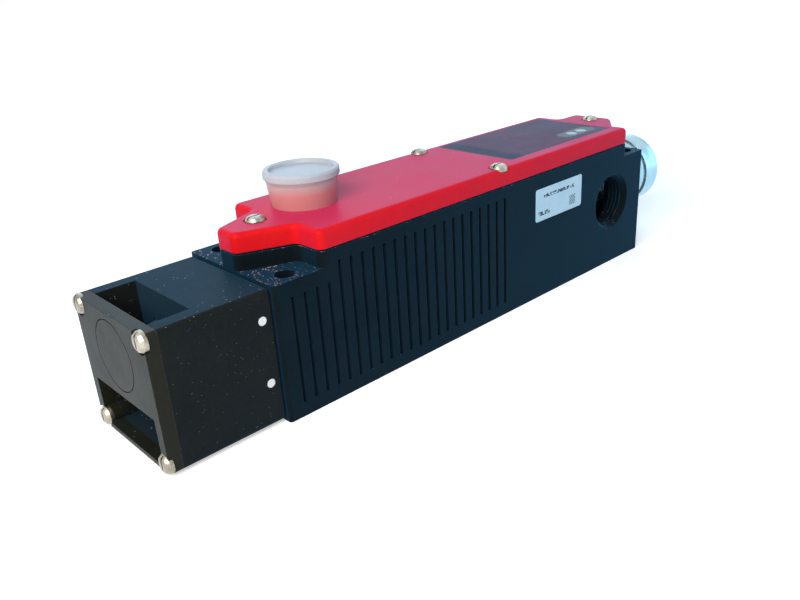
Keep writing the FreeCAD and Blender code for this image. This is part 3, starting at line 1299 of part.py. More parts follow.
NODES = {
    "base_housing": base_housing,
    "cover_gasket": cover_gasket,
    "cover": cover,
    "cover_screws": cover_screws,
    "cover_label": cover_label,
    "led_window": led_window,
    "circuit_board": circuit_board,
    "board_screws": board_screws,
    "led_lamps": led_lamps,
    "release_spindle": release_spindle,
    "release_clip": release_clip,
    "protective_cap": protective_cap,
    "head_housing": head_housing,
    "head_front_plate": head_front_plate,
    "head_screws": head_screws,
    "head_gasket": head_gasket,
    "head_pins": head_pins,
    "cam_wheel": cam_wheel,
    "cam_pin": cam_pin,
    "head_plunger": head_plunger,
    "lock_rod": lock_rod,
    "lock_lever": lock_lever,
    "lever_pin": lever_pin,
    "solenoid_yoke": solenoid_yoke,
    "solenoid_bobbin": solenoid_bobbin,
    "solenoid_coil": solenoid_coil,
    "solenoid_core": solenoid_core,
    "solenoid_screws": solenoid_screws,
    "armature": armature,
    "link_pin": link_pin,
    "armature_spring": armature_spring,
    "contact_block": contact_block,
    "contact_block_lid": contact_block_lid,
    "contact_carrier": contact_carrier,
    "contact_bridges": contact_bridges,
    "fixed_contacts": fixed_contacts,
    "carrier_spring": carrier_spring,
    "block_screws": block_screws,
    "terminal_block": terminal_block,
    "terminal_screws": terminal_screws,
    "earth_screw": earth_screw,
    "connector_shell": connector_shell,
    "connector_seal": connector_seal,
    "connector_nut": connector_nut,
    "connector_insert": connector_insert,
    "connector_pins": connector_pins,
    "side_label": side_label,
}


def main():
    os.makedirs("parts", exist_ok=True)
    for name, make in NODES.items():
        save(name, make())


main()
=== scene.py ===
"""Looks of the tongue interlock switch: moulded black base, coated head, red cover, plated connector.

Metres, in the frame of the CAD model: +X to the connector, +Z up, the mounting face on z = 0.
"""

import json
import math

import bmesh
import bpy
from mathutils import Matrix, Vector


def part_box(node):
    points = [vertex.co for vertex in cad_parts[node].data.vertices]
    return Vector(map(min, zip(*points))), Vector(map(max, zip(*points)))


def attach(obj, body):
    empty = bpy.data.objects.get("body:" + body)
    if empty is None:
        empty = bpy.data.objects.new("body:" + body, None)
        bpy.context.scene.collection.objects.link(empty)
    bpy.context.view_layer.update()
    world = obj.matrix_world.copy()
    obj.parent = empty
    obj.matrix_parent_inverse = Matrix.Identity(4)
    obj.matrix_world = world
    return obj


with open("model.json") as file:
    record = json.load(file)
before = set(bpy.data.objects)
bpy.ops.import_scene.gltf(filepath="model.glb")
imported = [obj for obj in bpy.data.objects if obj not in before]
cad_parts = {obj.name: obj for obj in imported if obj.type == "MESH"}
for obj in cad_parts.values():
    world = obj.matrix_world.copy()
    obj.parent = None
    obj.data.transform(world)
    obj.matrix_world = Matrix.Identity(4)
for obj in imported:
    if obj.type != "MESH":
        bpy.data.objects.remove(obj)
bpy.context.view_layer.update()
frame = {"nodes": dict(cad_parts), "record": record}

MM = 0.001
NODES = frame["nodes"]


# ---------------------------------------------------------------- places taken from the CAD nodes
BASE_LOW, BASE_HIGH = (Vector(corner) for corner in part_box("base_housing"))
LABEL_LOW, LABEL_HIGH = (Vector(corner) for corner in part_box("cover_label"))
STICKER_LOW, STICKER_HIGH = (Vector(corner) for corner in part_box("side_label"))
ENTRY = next(m for m in frame["record"]["mounts"] if m["name"] == "cable_entry")
ENTRY_X, ENTRY_Z = ENTRY["pos_m"][0], ENTRY["pos_m"][2]
ENTRY_R = ENTRY["dims"]["r_mm"] * MM


# ---------------------------------------------------------------- shader helpers
WAVE_RATE = 20.0            # phase a wave texture gains per metre, for each unit of its scale


def new_group(name, inputs, outputs):
    """Empty shader group; inputs are (name, kind, value), outputs are (name, kind)."""
    group = bpy.data.node_groups.new(name, "ShaderNodeTree")
    for label, kind, value in inputs:
        socket = group.interface.new_socket(label, in_out="INPUT", socket_type=kind)
        socket.default_value = value
    for label, kind in outputs:
        group.interface.new_socket(label, in_out="OUTPUT", socket_type=kind)
    return group, group.nodes.new("NodeGroupInput"), group.nodes.new("NodeGroupOutput")


def add(tree, kind, **settings):
    """One shader node, with its plain settings."""
    node = tree.nodes.new("ShaderNode" + kind)
    for name, value in settings.items():
        setattr(node, name, value)
    return node


def socket_value(value):
    """Colours get their alpha; anything else stays as it is."""
    return (*value, 1.0) if isinstance(value, tuple) else value


def set_inputs(node, **values):
    """Sets sockets by name, with _ for a space."""
    for label, value in values.items():
        node.inputs[label.replace("_", " ")].default_value = socket_value(value)


def calc(tree, operation, first, second=None, clamp=False):
    """Math node on sockets or numbers; returns its result socket."""
    node = add(tree, "Math", operation=operation, use_clamp=clamp)
    for slot, value in enumerate((first, second)):
        if isinstance(value, (int, float)):
            node.inputs[slot].default_value = value
        elif value is not None:
            tree.links.new(value, node.inputs[slot])
    return node.outputs[0]


def ramp(tree, value, start, slope):
    """Rises from 0 at start by slope, held between 0 and 1."""
    return calc(tree, "MULTIPLY", calc(tree, "SUBTRACT", value, start), slope, clamp=True)


def band(tree, value, low, high):
    """1 where low < value < high."""
    above = calc(tree, "GREATER_THAN", value, low)
    below = calc(tree, "LESS_THAN", value, high)
    return calc(tree, "MULTIPLY", above, below)


def block(tree, first, first_span, second, second_span):
    """1 inside a rectangle given by its spans on two axes."""
    return calc(tree, "MULTIPLY", band(tree, first, *first_span), band(tree, second, *second_span))


def disc(tree, axes, centre, radius):
    """1 inside a circle seen along Z."""
    across = calc(tree, "POWER", calc(tree, "SUBTRACT", axes["X"], centre[0]), 2.0)
    along = calc(tree, "POWER", calc(tree, "SUBTRACT", axes["Y"], centre[1]), 2.0)
    return calc(tree, "LESS_THAN", calc(tree, "ADD", across, along), radius ** 2)


def split(tree, vector):
    """The X, Y and Z sockets of a vector."""
    node = add(tree, "SeparateXYZ")
    tree.links.new(vector, node.inputs["Vector"])
    return node.outputs


def noise(tree, vector, scale, detail=2.0, rough=0.5):
    """Noise in 0 to 1; its scale may be a socket or a number."""
    node = add(tree, "TexNoise")
    tree.links.new(vector, node.inputs["Vector"])
    if isinstance(scale, (int, float)):
        node.inputs["Scale"].default_value = scale
    else:
        tree.links.new(scale, node.inputs["Scale"])
    node.inputs["Detail"].default_value = detail
    node.inputs["Roughness"].default_value = rough
    return node.outputs["Fac"]


def waves(tree, vector, period):
    """Even waves along X that repeat every period."""
    node = add(tree, "TexWave", wave_type="BANDS", bands_direction="X", wave_profile="SIN")
    node.inputs["Scale"].default_value = 2 * math.pi / (WAVE_RATE * period)
    tree.links.new(vector, node.inputs["Vector"])
    return node.outputs["Fac"]


def blend(tree, factor, first, second):
    """Mix of two colours; each may be a socket or a colour."""
    node = add(tree, "Mix", data_type="RGBA")
    tree.links.new(factor, node.inputs["Factor"])
    for slot, value in (("A", first), ("B", second)):
        target = next(i for i in node.inputs if i.name == slot and i.type == "RGBA")
        if isinstance(value, tuple):
            target.default_value = (*value, 1.0)
        else:
            tree.links.new(value, target)
    return next(o for o in node.outputs if o.type == "RGBA")


# ---------------------------------------------------------------- shared effects
BEVEL_SAMPLES = 4

FINE_RATIO = 14.0           # fine drift against slow drift, in scale
SLOW_SHARE, FINE_SHARE = 0.65, 0.35
MOTTLE_START, MOTTLE_SLOPE = 0.3, 2.5

WAVINESS_RATIO = 0.06       # waviness against the grain's pits, in scale
WAVINESS_SHARE = 0.8

SPECK_RADIUS = 0.34         # of the largest speck, in cells
PATCH_SCALE = 140.0
PATCH_START, PATCH_SLOPE = 0.25, 3.0
UPWARD_START, UPWARD_SLOPE = 0.5, 4.0

EDGE_SLOPE = 8.0
BREAK_SCALE = 700.0
BREAK_START, BREAK_SLOPE = 0.38, 4.0


def make_mottle():
    """Slow and fine colour drift between two tones."""
    group, given, out = new_group(
        "Mottle",
        [("Vector", "NodeSocketVector", (0, 0, 0)), ("Scale", "NodeSocketFloat", 60.0),
         ("Tone A", "NodeSocketColor", (0, 0, 0, 1)), ("Tone B", "NodeSocketColor", (1, 1, 1, 1))],
        [("Color", "NodeSocketColor"), ("Mask", "NodeSocketFloat")],
    )
    vector, scale = given.outputs["Vector"], given.outputs["Scale"]
    slow = noise(group, vector, scale, 3.0)
    fine = noise(group, vector, calc(group, "MULTIPLY", scale, FINE_RATIO))
    slow_part = calc(group, "MULTIPLY", slow, SLOW_SHARE)
    both = calc(group, "ADD", slow_part, calc(group, "MULTIPLY", fine, FINE_SHARE))
    sharp = ramp(group, both, MOTTLE_START, MOTTLE_SLOPE)
    mixed = blend(group, sharp, given.outputs["Tone A"], given.outputs["Tone B"])
    group.links.new(mixed, out.inputs["Color"])
    group.links.new(sharp, out.inputs["Mask"])
    return group


def make_grain():
    """Fine moulded or cast texture as a normal, softened at the edges of the part."""
    group, given, out = new_group(
        "Grain",
        [("Vector", "NodeSocketVector", (0, 0, 0)), ("Scale", "NodeSocketFloat", 2500.0),
         ("Depth", "NodeSocketFloat", 0.02 * MM), ("Edge radius", "NodeSocketFloat", 0.3 * MM)],
        [("Normal", "NodeSocketVector"), ("Height", "NodeSocketFloat")],
    )
    vector, scale = given.outputs["Vector"], given.outputs["Scale"]
    pits = noise(group, vector, scale, 3.0, 0.6)
    waviness = noise(group, vector, calc(group, "MULTIPLY", scale, WAVINESS_RATIO), 1.0)
    height = calc(group, "ADD", pits, calc(group, "MULTIPLY", waviness, WAVINESS_SHARE))
    soft = add(group, "Bevel", samples=BEVEL_SAMPLES)
    group.links.new(given.outputs["Edge radius"], soft.inputs["Radius"])
    bump = add(group, "Bump")
    group.links.new(given.outputs["Depth"], bump.inputs["Distance"])
    group.links.new(height, bump.inputs["Height"])
    group.links.new(soft.outputs["Normal"], bump.inputs["Normal"])
    group.links.new(bump.outputs["Normal"], out.inputs["Normal"])
    group.links.new(height, out.inputs["Height"])
    return group


def make_dust():
    """Mask of loose specks, in patches, on faces that look up; Sides lets them cling to the others."""
    group, given, out = new_group(
        "Dust",
        [("Vector", "NodeSocketVector", (0, 0, 0)), ("Scale", "NodeSocketFloat", 900.0),
         ("Amount", "NodeSocketFloat", 0.3), ("Sides", "NodeSocketFloat", 0.0)],
        [("Mask", "NodeSocketFloat")],
    )
    cells = add(group, "TexVoronoi", feature="F1")
    group.links.new(given.outputs["Vector"], cells.inputs["Vector"])
    group.links.new(given.outputs["Scale"], cells.inputs["Scale"])
    cells.inputs["Randomness"].default_value = 1.0
    pick = add(group, "SeparateColor")
    group.links.new(cells.outputs["Color"], pick.inputs["Color"])
    radius = calc(group, "MULTIPLY", pick.outputs["Green"], SPECK_RADIUS)
    speck = calc(group, "LESS_THAN", cells.outputs["Distance"], radius)
    chosen = calc(group, "LESS_THAN", pick.outputs["Red"], given.outputs["Amount"])
    patchy = ramp(group, noise(group, given.outputs["Vector"], PATCH_SCALE), PATCH_START, PATCH_SLOPE)
    facing = split(group, add(group, "NewGeometry").outputs["Normal"])
    upward = ramp(group, facing["Z"], UPWARD_START, UPWARD_SLOPE)
    reached = calc(group, "MAXIMUM", upward, given.outputs["Sides"])
    shown = calc(group, "MULTIPLY", speck, chosen)
    mask = calc(group, "MULTIPLY", shown, calc(group, "MULTIPLY", patchy, reached))
    group.links.new(mask, out.inputs["Mask"])
    return group


def make_wear():
    """Mask of worn outer edges, broken up by noise."""
    group, given, out = new_group(
        "Edge wear",
        [("Vector", "NodeSocketVector", (0, 0, 0)), ("Radius", "NodeSocketFloat", 0.4 * MM),
         ("Amount", "NodeSocketFloat", 1.0)],
        [("Mask", "NodeSocketFloat")],
    )
    rounded = add(group, "Bevel", samples=BEVEL_SAMPLES)
    group.links.new(given.outputs["Radius"], rounded.inputs["Radius"])
    turn = add(group, "VectorMath", operation="DOT_PRODUCT")
    group.links.new(rounded.outputs["Normal"], turn.inputs[0])
    group.links.new(add(group, "NewGeometry").outputs["Normal"], turn.inputs[1])
    away = calc(group, "SUBTRACT", 1.0, turn.outputs["Value"])
    edge = calc(group, "MULTIPLY", away, EDGE_SLOPE, clamp=True)
    flecks = noise(group, given.outputs["Vector"], BREAK_SCALE, 4.0, 0.7)
    broken = ramp(group, flecks, BREAK_START, BREAK_SLOPE)
    mask = calc(group, "MULTIPLY", edge, broken)
    group.links.new(calc(group, "MULTIPLY", mask, given.outputs["Amount"], clamp=True), out.inputs["Mask"])
    return group


GROUPS = {"mottle": make_mottle(), "grain": make_grain(), "dust": make_dust(), "wear": make_wear()}


def place_group(tree, name, vector, **values):
    """One of the shared effects on a vector, with its values."""
    node = add(tree, "Group", node_tree=GROUPS[name])
    tree.links.new(vector, node.inputs["Vector"])
    set_inputs(node, **values)
    return node


def mottled(tree, vector, scale, dark, light):
    return place_group(tree, "mottle", vector, Scale=scale, Tone_A=dark, Tone_B=light)


def grained(tree, vector, scale, depth, edge):
    return place_group(tree, "grain", vector, Scale=scale, Depth=depth, Edge_radius=edge)


# ---------------------------------------------------------------- materials
def blank(name, **shader):
    """New material: its tree, its Principled shader and the object coordinates."""
    material = bpy.data.materials.new(name)
    material.use_nodes = True
    tree = material.node_tree
    principled = tree.nodes["Principled BSDF"]
    set_inputs(principled, **shader)
    return material, tree, principled, add(tree, "TexCoord").outputs["Object"]


def dress(tree, principled, colour, normal):
    tree.links.new(colour, principled.inputs["Base Color"])
    tree.links.new(normal, principled.inputs["Normal"])


def vary_roughness(tree, principled, mask, low, high):
    spread = calc(tree, "ADD", calc(tree, "MULTIPLY", mask, high - low), low)
    tree.links.new(spread, principled.inputs["Roughness"])


def moulding(name, dark, light, rough, grain=2200.0, depth=0.03 * MM, edge=0.25 * MM, **shader):
    """Plain moulded plastic: two close tones, fine texture and uneven gloss."""
    material, tree, principled, place = blank(name, **shader)
    tone = mottled(tree, place, 70.0, dark, light)
    texture = grained(tree, place, grain, depth, edge)
    dress(tree, principled, tone.outputs["Color"], texture.outputs["Normal"])
    vary_roughness(tree, principled, tone.outputs["Mask"], *rough)
    return material


def metal(name, dark, light, rough, depth=0.01 * MM, stretch=(1, 1, 1)):
    """Bare or plated metal: light drift of tone and fine drawn or turned marks."""
    material, tree, principled, place = blank(name, Metallic=1.0)
    drawn = add(tree, "Mapping")
    drawn.inputs["Scale"].default_value = stretch
    tree.links.new(place, drawn.inputs["Vector"])
    tone = mottled(tree, drawn.outputs["Vector"], 250.0, dark, light)
    marks = grained(tree, drawn.outputs["Vector"], 900.0, depth, 0.2 * MM)
    dress(tree, principled, tone.outputs["Color"], marks.outputs["Normal"])
    vary_roughness(tree, principled, tone.outputs["Mask"], *rough)
    return material


def cover_colour(material, effect, tone, **values):
    """Lays a tone over a material's colour where a shared effect's mask is set."""
    tree = material.node_tree
    principled = tree.nodes["Principled BSDF"]
    place = next(n for n in tree.nodes if n.bl_idname == "ShaderNodeTexCoord").outputs["Object"]
    laid = place_group(tree, effect, place, **values)
    clean = principled.inputs["Base Color"].links[0].from_socket
    tree.links.new(blend(tree, laid.outputs["Mask"], clean, tone), principled.inputs["Base Color"])
    return material


def dusted(material, amount, scale, tone, sides=0.0):
    """Adds specks of dust over the colour of a material."""
    return cover_colour(material, "dust", tone, Scale=scale, Amount=amount, Sides=sides)


def worn(material, amount, tone):
    """Adds rubbed edges in a lighter tone."""
    return cover_colour(material, "wear", tone, Amount=amount)


def bloom(weight, tint):
    """Settings of a soft coloured bloom at grazing angles."""
    return {"Sheen_Weight": weight, "Sheen_Roughness": 0.45, "Sheen_Tint": tint}


def base_material():
    """Black moulded base: bluish black, matt, with dust lying on its shelves."""
    material = moulding(
        "black moulding", (0.0030, 0.0045, 0.0050), (0.0062, 0.0090, 0.0100), (0.42, 0.58),
        Specular_IOR_Level=0.02, **bloom(0.34, (0.03, 0.44, 0.90)),
    )
    return worn(dusted(material, 0.95, 1300.0, (0.72, 0.36, 0.28)), 0.4, (0.02, 0.032, 0.04))


def head_material():
    """Black coated die casting with a satin bloom and a few specks."""
    material = moulding(
        "black coated casting", (0.0085, 0.0080, 0.0055), (0.0140, 0.0135, 0.0095), (0.4, 0.55),
        grain=1500.0, depth=0.04 * MM, edge=0.3 * MM,
        Specular_IOR_Level=0.02, **bloom(0.28, (0.03, 0.44, 0.90)),
    )
    return worn(dusted(material, 0.10, 1700.0, (0.38, 0.38, 0.33), 0.6), 0.5, (0.04, 0.045, 0.045))


def plate_material():
    """Front plate of the head: the same coating, rubbed to a satin that glares at grazing angles."""
    material = moulding(
        "satin coated plate", (0.0090, 0.0092, 0.0050), (0.0150, 0.0150, 0.0090), (0.34, 0.48),
        grain=1500.0, depth=0.04 * MM, edge=0.3 * MM,
        Specular_IOR_Level=0.10, **bloom(0.05, (0.10, 0.45, 0.80)),
    )
    return worn(dusted(material, 0.05, 1500.0, (0.30, 0.30, 0.26), 0.5), 0.5, (0.06, 0.06, 0.05))


def cover_material():
    """Signal red satin moulding."""
    material = moulding(
        "signal red moulding", (0.60, 0.005, 0.006), (0.68, 0.009, 0.010), (0.35, 0.48),
        grain=1800.0, depth=0.015 * MM, edge=0.3 * MM,
        Specular_IOR_Level=0.05, **bloom(0.48, (0.05, 0.16, 0.62)),
    )
    return dusted(material, 0.03, 1400.0, (0.45, 0.25, 0.22))


CAP_RIM = 1.6 * MM          # height below the cap's top left free of the painted red glow
CAP_PAINTED_GLOW = 4.5 * MM         # height over which the painted red glow grows, below the rim


def cap_material():
    """Milky polyethylene whose cool tint is a painted sky reflection, with a painted red glow growing
    towards its foot as if the cover's light shone through it.
    """
    material, tree, principled, place = blank(
        "milky cap", Roughness=0.35, IOR=1.45, Transmission_Weight=0.22, Subsurface_Weight=0.35,
        Subsurface_Scale=3.0 * MM, Specular_IOR_Level=0.2,
    )
    principled.inputs["Subsurface Radius"].default_value = (1.0, 0.7, 0.6)
    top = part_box("protective_cap")[1][2]
    fall = calc(tree, "SUBTRACT", top - CAP_RIM, split(tree, place)["Z"])
    glow = calc(tree, "MULTIPLY", fall, 1.0 / CAP_PAINTED_GLOW, clamp=True)
    # milk tones with a cool blue cast: painted sky reflection
    milk_and_painted_sky = mottled(tree, place, 90.0, (0.46, 0.50, 0.55), (0.56, 0.59, 0.64))
    # painted red glow of the cover, blended in towards the cap's foot
    painted_red_glow = blend(tree, glow, milk_and_painted_sky.outputs["Color"], (0.70, 0.27, 0.28))
    wax = grained(tree, place, 700.0, 0.03 * MM, 0.3 * MM)
    dress(tree, principled, painted_red_glow, wax.outputs["Normal"])
    return material


# label over the cover's rear: lengths from its front end, its rear end and its long sides
LABEL_BAR = (1.2 * MM, 7.0 * MM)
LABEL_PRINT_FRONT, LABEL_PRINT_REAR, LABEL_PRINT_SIDE = 9.0 * MM, 18.0 * MM, 2.0 * MM
PRINT_STRENGTH = 0.6


def label_material():
    """Dark translucent film over the red cover: a plain bar at one end and faint blocks of print."""
    material, tree, principled, place = blank(
        "dark label film", Specular_IOR_Level=0.02, **bloom(0.14, (0.10, 0.20, 0.65)),
    )
    axes = split(tree, place)
    film = mottled(tree, place, 110.0, (0.034, 0.022, 0.045), (0.070, 0.034, 0.064))
    end_bar = band(tree, axes["X"], LABEL_LOW.x + LABEL_BAR[0], LABEL_LOW.x + LABEL_BAR[1])
    inside = block(
        tree, axes["X"], (LABEL_LOW.x + LABEL_PRINT_FRONT, LABEL_HIGH.x - LABEL_PRINT_REAR),
        axes["Y"], (LABEL_LOW.y + LABEL_PRINT_SIDE, LABEL_HIGH.y - LABEL_PRINT_SIDE),
    )
    bricks = add(tree, "TexBrick", offset=0.37, squash=1.0)
    tree.links.new(place, bricks.inputs["Vector"])
    set_inputs(
        bricks, Scale=1.0, Mortar_Size=0.4 * MM, Brick_Width=4.2 * MM, Row_Height=2.2 * MM, Bias=-0.1,
        Color1=(1, 1, 1), Color2=(0, 0, 0), Mortar=(0, 0, 0),
    )
    strength = calc(tree, "MULTIPLY", inside, PRINT_STRENGTH)
    print_mask = calc(tree, "MULTIPLY", bricks.outputs["Color"], strength)
    printed = blend(tree, print_mask, film.outputs["Color"], (0.16, 0.018, 0.035))
    barred = blend(tree, end_bar, printed, (0.010, 0.012, 0.030))
    grain = grained(tree, place, 1200.0, 0.006 * MM, 0.04 * MM)
    dress(tree, principled, barred, grain.outputs["Normal"])
    vary_roughness(tree, principled, film.outputs["Mask"], 0.28, 0.4)
    return material


# marks on the side label: spans from its left end and down from its top edge
STICKER_UPPER = ((4.2 * MM, 21.0 * MM), (2.3 * MM, 3.5 * MM))
STICKER_LOWER = ((1.4 * MM, 7.4 * MM), (7.8 * MM, 9.2 * MM))
STICKER_SQUARE = ((18.4 * MM, 21.8 * MM), (6.0 * MM, 9.4 * MM))
CHEQUER_STEP = 0.55 * MM
INK_FROM = 0.46             # noise above which a bar is inked


def sticker_material():
    """White film sticker with plain grey bars and one chequered square, no wording."""
    material, tree, principled, place = blank("white sticker", Specular_IOR_Level=0.2)
    axes = split(tree, place)
    white = mottled(tree, place, 90.0, (0.42, 0.62, 0.74), (0.52, 0.71, 0.82))

    def mark(across, down):
        return block(
            tree, axes["X"], (STICKER_LOW.x + across[0], STICKER_LOW.x + across[1]),
            axes["Z"], (STICKER_HIGH.z - down[1], STICKER_HIGH.z - down[0]),
        )

    upper, lower, square = mark(*STICKER_UPPER), mark(*STICKER_LOWER), mark(*STICKER_SQUARE)
    chequer = add(tree, "TexChecker")
    set_inputs(chequer, Scale=1.0 / CHEQUER_STEP, Color1=(1, 1, 1), Color2=(0, 0, 0))
    tree.links.new(place, chequer.inputs["Vector"])
    broken = calc(tree, "GREATER_THAN", noise(tree, place, 1400.0, 1.0), INK_FROM)
    bars = calc(tree, "MULTIPLY", calc(tree, "ADD", upper, lower, clamp=True), broken)
    ink = calc(tree, "ADD", bars, calc(tree, "MULTIPLY", square, chequer.outputs["Color"]), clamp=True)
    inked = blend(tree, ink, white.outputs["Color"], (0.03, 0.06, 0.09))
    grain = grained(tree, place, 1500.0, 0.004 * MM, 0.04 * MM)
    dress(tree, principled, inked, grain.outputs["Normal"])
    vary_roughness(tree, principled, white.outputs["Mask"], 0.35, 0.5)
    return material


def window_material():
    """Smoked window with the two indicator lamps showing as pale discs."""
    material, tree, principled, place = blank("smoked window", Specular_IOR_Level=0.05)
    axes = split(tree, place)
    low, high = (Vector(corner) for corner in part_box("led_lamps"))
    radius = (high.y - low.y) / 2
    discs = [disc(tree, axes, (x, (low.y + high.y) / 2), radius) for x in (low.x + radius, high.x - radius)]
    smoke = mottled(tree, place, 120.0, (0.008, 0.034, 0.050), (0.012, 0.048, 0.068))
    shown = blend(tree, calc(tree, "ADD", *discs, clamp=True), smoke.outputs["Color"], (0.34, 0.50, 0.55))
    gloss = grained(tree, place, 900.0, 0.005 * MM, 0.1 * MM)
    dress(tree, principled, shown, gloss.outputs["Normal"])
    vary_roughness(tree, principled, smoke.outputs["Mask"], 0.18, 0.3)
    return material


def lamp_material():
    """Water-clear lamp lens with a pale glow of its own."""
    material, tree, principled, place = blank(
        "lamp lens", Roughness=0.15, Transmission_Weight=0.2, Emission_Strength=0.5,
    )
    tone = mottled(tree, place, 400.0, (0.80, 0.86, 0.90), (0.95, 0.97, 0.98))
    tree.links.new(tone.outputs["Color"], principled.inputs["Base Color"])
    tree.links.new(tone.outputs["Color"], principled.inputs["Emission Color"])
    return material


def bumped(tree, height, depth):
    """Bump node over a height."""
    bump = add(tree, "Bump")
    bump.inputs["Distance"].default_value = depth
    tree.links.new(height, bump.inputs["Height"])
    return bump


NICKEL_SWELL = 6.9115 * MM  # from one swell of the turned surface to the next
COIL_TURN = 0.197392 * MM   # from one turn of wire to the next


def nickel_material():
    """Nickel plating over turned brass, with a slight swell along the connector's axis; its cyan-blue tone
    is a painted sky reflection.
    """
    material, tree, principled, place = blank("nickel plating", Metallic=1.0)
    swell = waves(tree, place, NICKEL_SWELL)
    # cyan-blue tones in place of plain nickel grey: painted sky reflection
    tone = mottled(tree, place, 160.0, (0.26, 0.52, 0.64), (0.46, 0.68, 0.77))
    marks = grained(tree, place, 1600.0, 0.006 * MM, 0.3 * MM)
    bump = bumped(tree, swell, 0.12 * MM)
    tree.links.new(marks.outputs["Normal"], bump.inputs["Normal"])
    dress(tree, principled, tone.outputs["Color"], bump.outputs["Normal"])
    vary_roughness(tree, principled, tone.outputs["Mask"], 0.18, 0.32)
    return material


def coil_material():
    """Enamelled copper wire wound round the bobbin, turn beside turn."""
    material, tree, principled, place = blank("wound copper", Metallic=0.85)
    turns = waves(tree, place, COIL_TURN)
    tone = mottled(tree, place, 200.0, (0.36, 0.10, 0.03), (0.58, 0.22, 0.08))
    dress(tree, principled, tone.outputs["Color"], bumped(tree, turns, 0.1 * MM).outputs["Normal"])
    vary_roughness(tree, principled, tone.outputs["Mask"], 0.25, 0.4)
    return material


def board_material():
    """Green solder resist over copper tracks."""
    material, tree, principled, place = blank("green board")
    tracks = add(tree, "TexBrick", offset=0.5)
    set_inputs(
        tracks, Scale=1.0, Mortar_Size=0.3 * MM, Brick_Width=6.0 * MM, Row_Height=1.7 * MM,
        Color1=(0.015, 0.13, 0.055), Color2=(0.02, 0.17, 0.07), Mortar=(0.03, 0.24, 0.11),
    )
    tree.links.new(place, tracks.inputs["Vector"])
    grain = grained(tree, place, 900.0, 0.01 * MM, 0.1 * MM)
    dress(tree, principled, tracks.outputs["Color"], grain.outputs["Normal"])
    vary_roughness(tree, principled, grain.outputs["Height"], 0.2, 0.35)
    return material


def finish_nodes():
    """Gives every CAD node its material; those not named here are ground steel. Returns the black one."""
    black = base_material()
    casting = head_material()
    zinc = metal("zinc plated steel", (0.16, 0.15, 0.12), (0.56, 0.51, 0.42), (0.18, 0.45), depth=0.04 * MM)
    steel = metal("ground steel", (0.50, 0.52, 0.54), (0.68, 0.70, 0.72), (0.18, 0.34), stretch=(8, 1, 8))
    rubber = moulding("gasket rubber", (0.006, 0.006, 0.007), (0.012, 0.012, 0.013), (0.75, 0.9),
                      grain=1200.0, Specular_IOR_Level=0.2)
    grey_black = moulding("grey black moulding", (0.035, 0.036, 0.04), (0.055, 0.056, 0.06), (0.4, 0.55))
    cream = moulding("cream moulding", (0.62, 0.58, 0.46), (0.72, 0.68, 0.56), (0.35, 0.5))
    pale = moulding("pale moulding", (0.62, 0.61, 0.57), (0.72, 0.71, 0.67), (0.35, 0.5))
    grey = moulding("terminal grey moulding", (0.20, 0.23, 0.24), (0.28, 0.31, 0.32), (0.4, 0.55))
    brass = metal("contact brass", (0.58, 0.40, 0.14), (0.80, 0.62, 0.30), (0.2, 0.36))
    seal = moulding("grey seal rubber", (0.09, 0.14, 0.16), (0.13, 0.19, 0.21), (0.6, 0.75),
                    Specular_IOR_Level=0.1)
    gold = metal("gold flashed pins", (0.78, 0.56, 0.20), (0.92, 0.74, 0.36), (0.15, 0.28))
    spring = metal("drawn spring wire", (0.42, 0.43, 0.45), (0.62, 0.63, 0.66), (0.2, 0.35))
    finishes = [
        (black, ["base_housing"]),
        (rubber, ["cover_gasket", "head_gasket"]),
        (seal, ["connector_seal"]),
        (cover_material(), ["cover"]),
        (label_material(), ["cover_label"]),
        (sticker_material(), ["side_label"]),
        (window_material(), ["led_window"]),
        (lamp_material(), ["led_lamps"]),
        (cap_material(), ["protective_cap"]),
        (casting, ["head_housing"]),
        (plate_material(), ["head_front_plate"]),
        (grey_black, ["cam_wheel", "contact_block", "connector_insert"]),
        (pale, ["lock_rod", "contact_carrier"]),
        (cream, ["solenoid_bobbin", "contact_block_lid"]),
        (grey, ["terminal_block"]),
        (coil_material(), ["solenoid_coil"]),
        (board_material(), ["circuit_board"]),
        (nickel_material(), ["connector_shell", "connector_nut"]),
        (gold, ["connector_pins"]),
        (brass, ["contact_bridges", "fixed_contacts"]),
        (spring, ["carrier_spring", "armature_spring"]),
        (zinc, ["head_screws", "cover_screws", "board_screws", "solenoid_screws", "block_screws",
                "terminal_screws", "earth_screw", "solenoid_yoke"]),
    ]
    finished = {name: material for material, names in finishes for name in names}
    for name, node in NODES.items():
        node.data.materials.clear()
        node.data.materials.append(finished.get(name, steel))
    return black


# ---------------------------------------------------------------- added pieces
JOIN_DISTANCE = 1e-7        # points of a closed turn that fall together

THREAD_PITCH = 1.5 * MM
THREAD_TURNS = 4
THREAD_START = 1.2 * MM     # behind the face
THREAD_CREST = 0.75 * MM    # into the bore
THREAD_ROOT = 0.02 * MM     # likewise
THREAD_WALL = 0.05 * MM     # back of the ring, sunk into the bore's wall
THREAD_STEPS = 96
# one turn of the saw profile: (share of the pitch, whether it is at the crest)
THREAD_SAW = ((0.1, False), (0.45, True), (0.6, True), (0.95, False))


def piece(name, mesh, material, body):
    """Turns a bmesh into a piece that rides on a body."""
    bmesh.ops.recalc_face_normals(mesh, faces=mesh.faces)
    data = bpy.data.meshes.new(name)
    mesh.to_mesh(data)
    mesh.free()
    data.materials.append(material)
    made = bpy.data.objects.new(name, data)
    bpy.context.scene.collection.objects.link(made)
    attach(made, body)


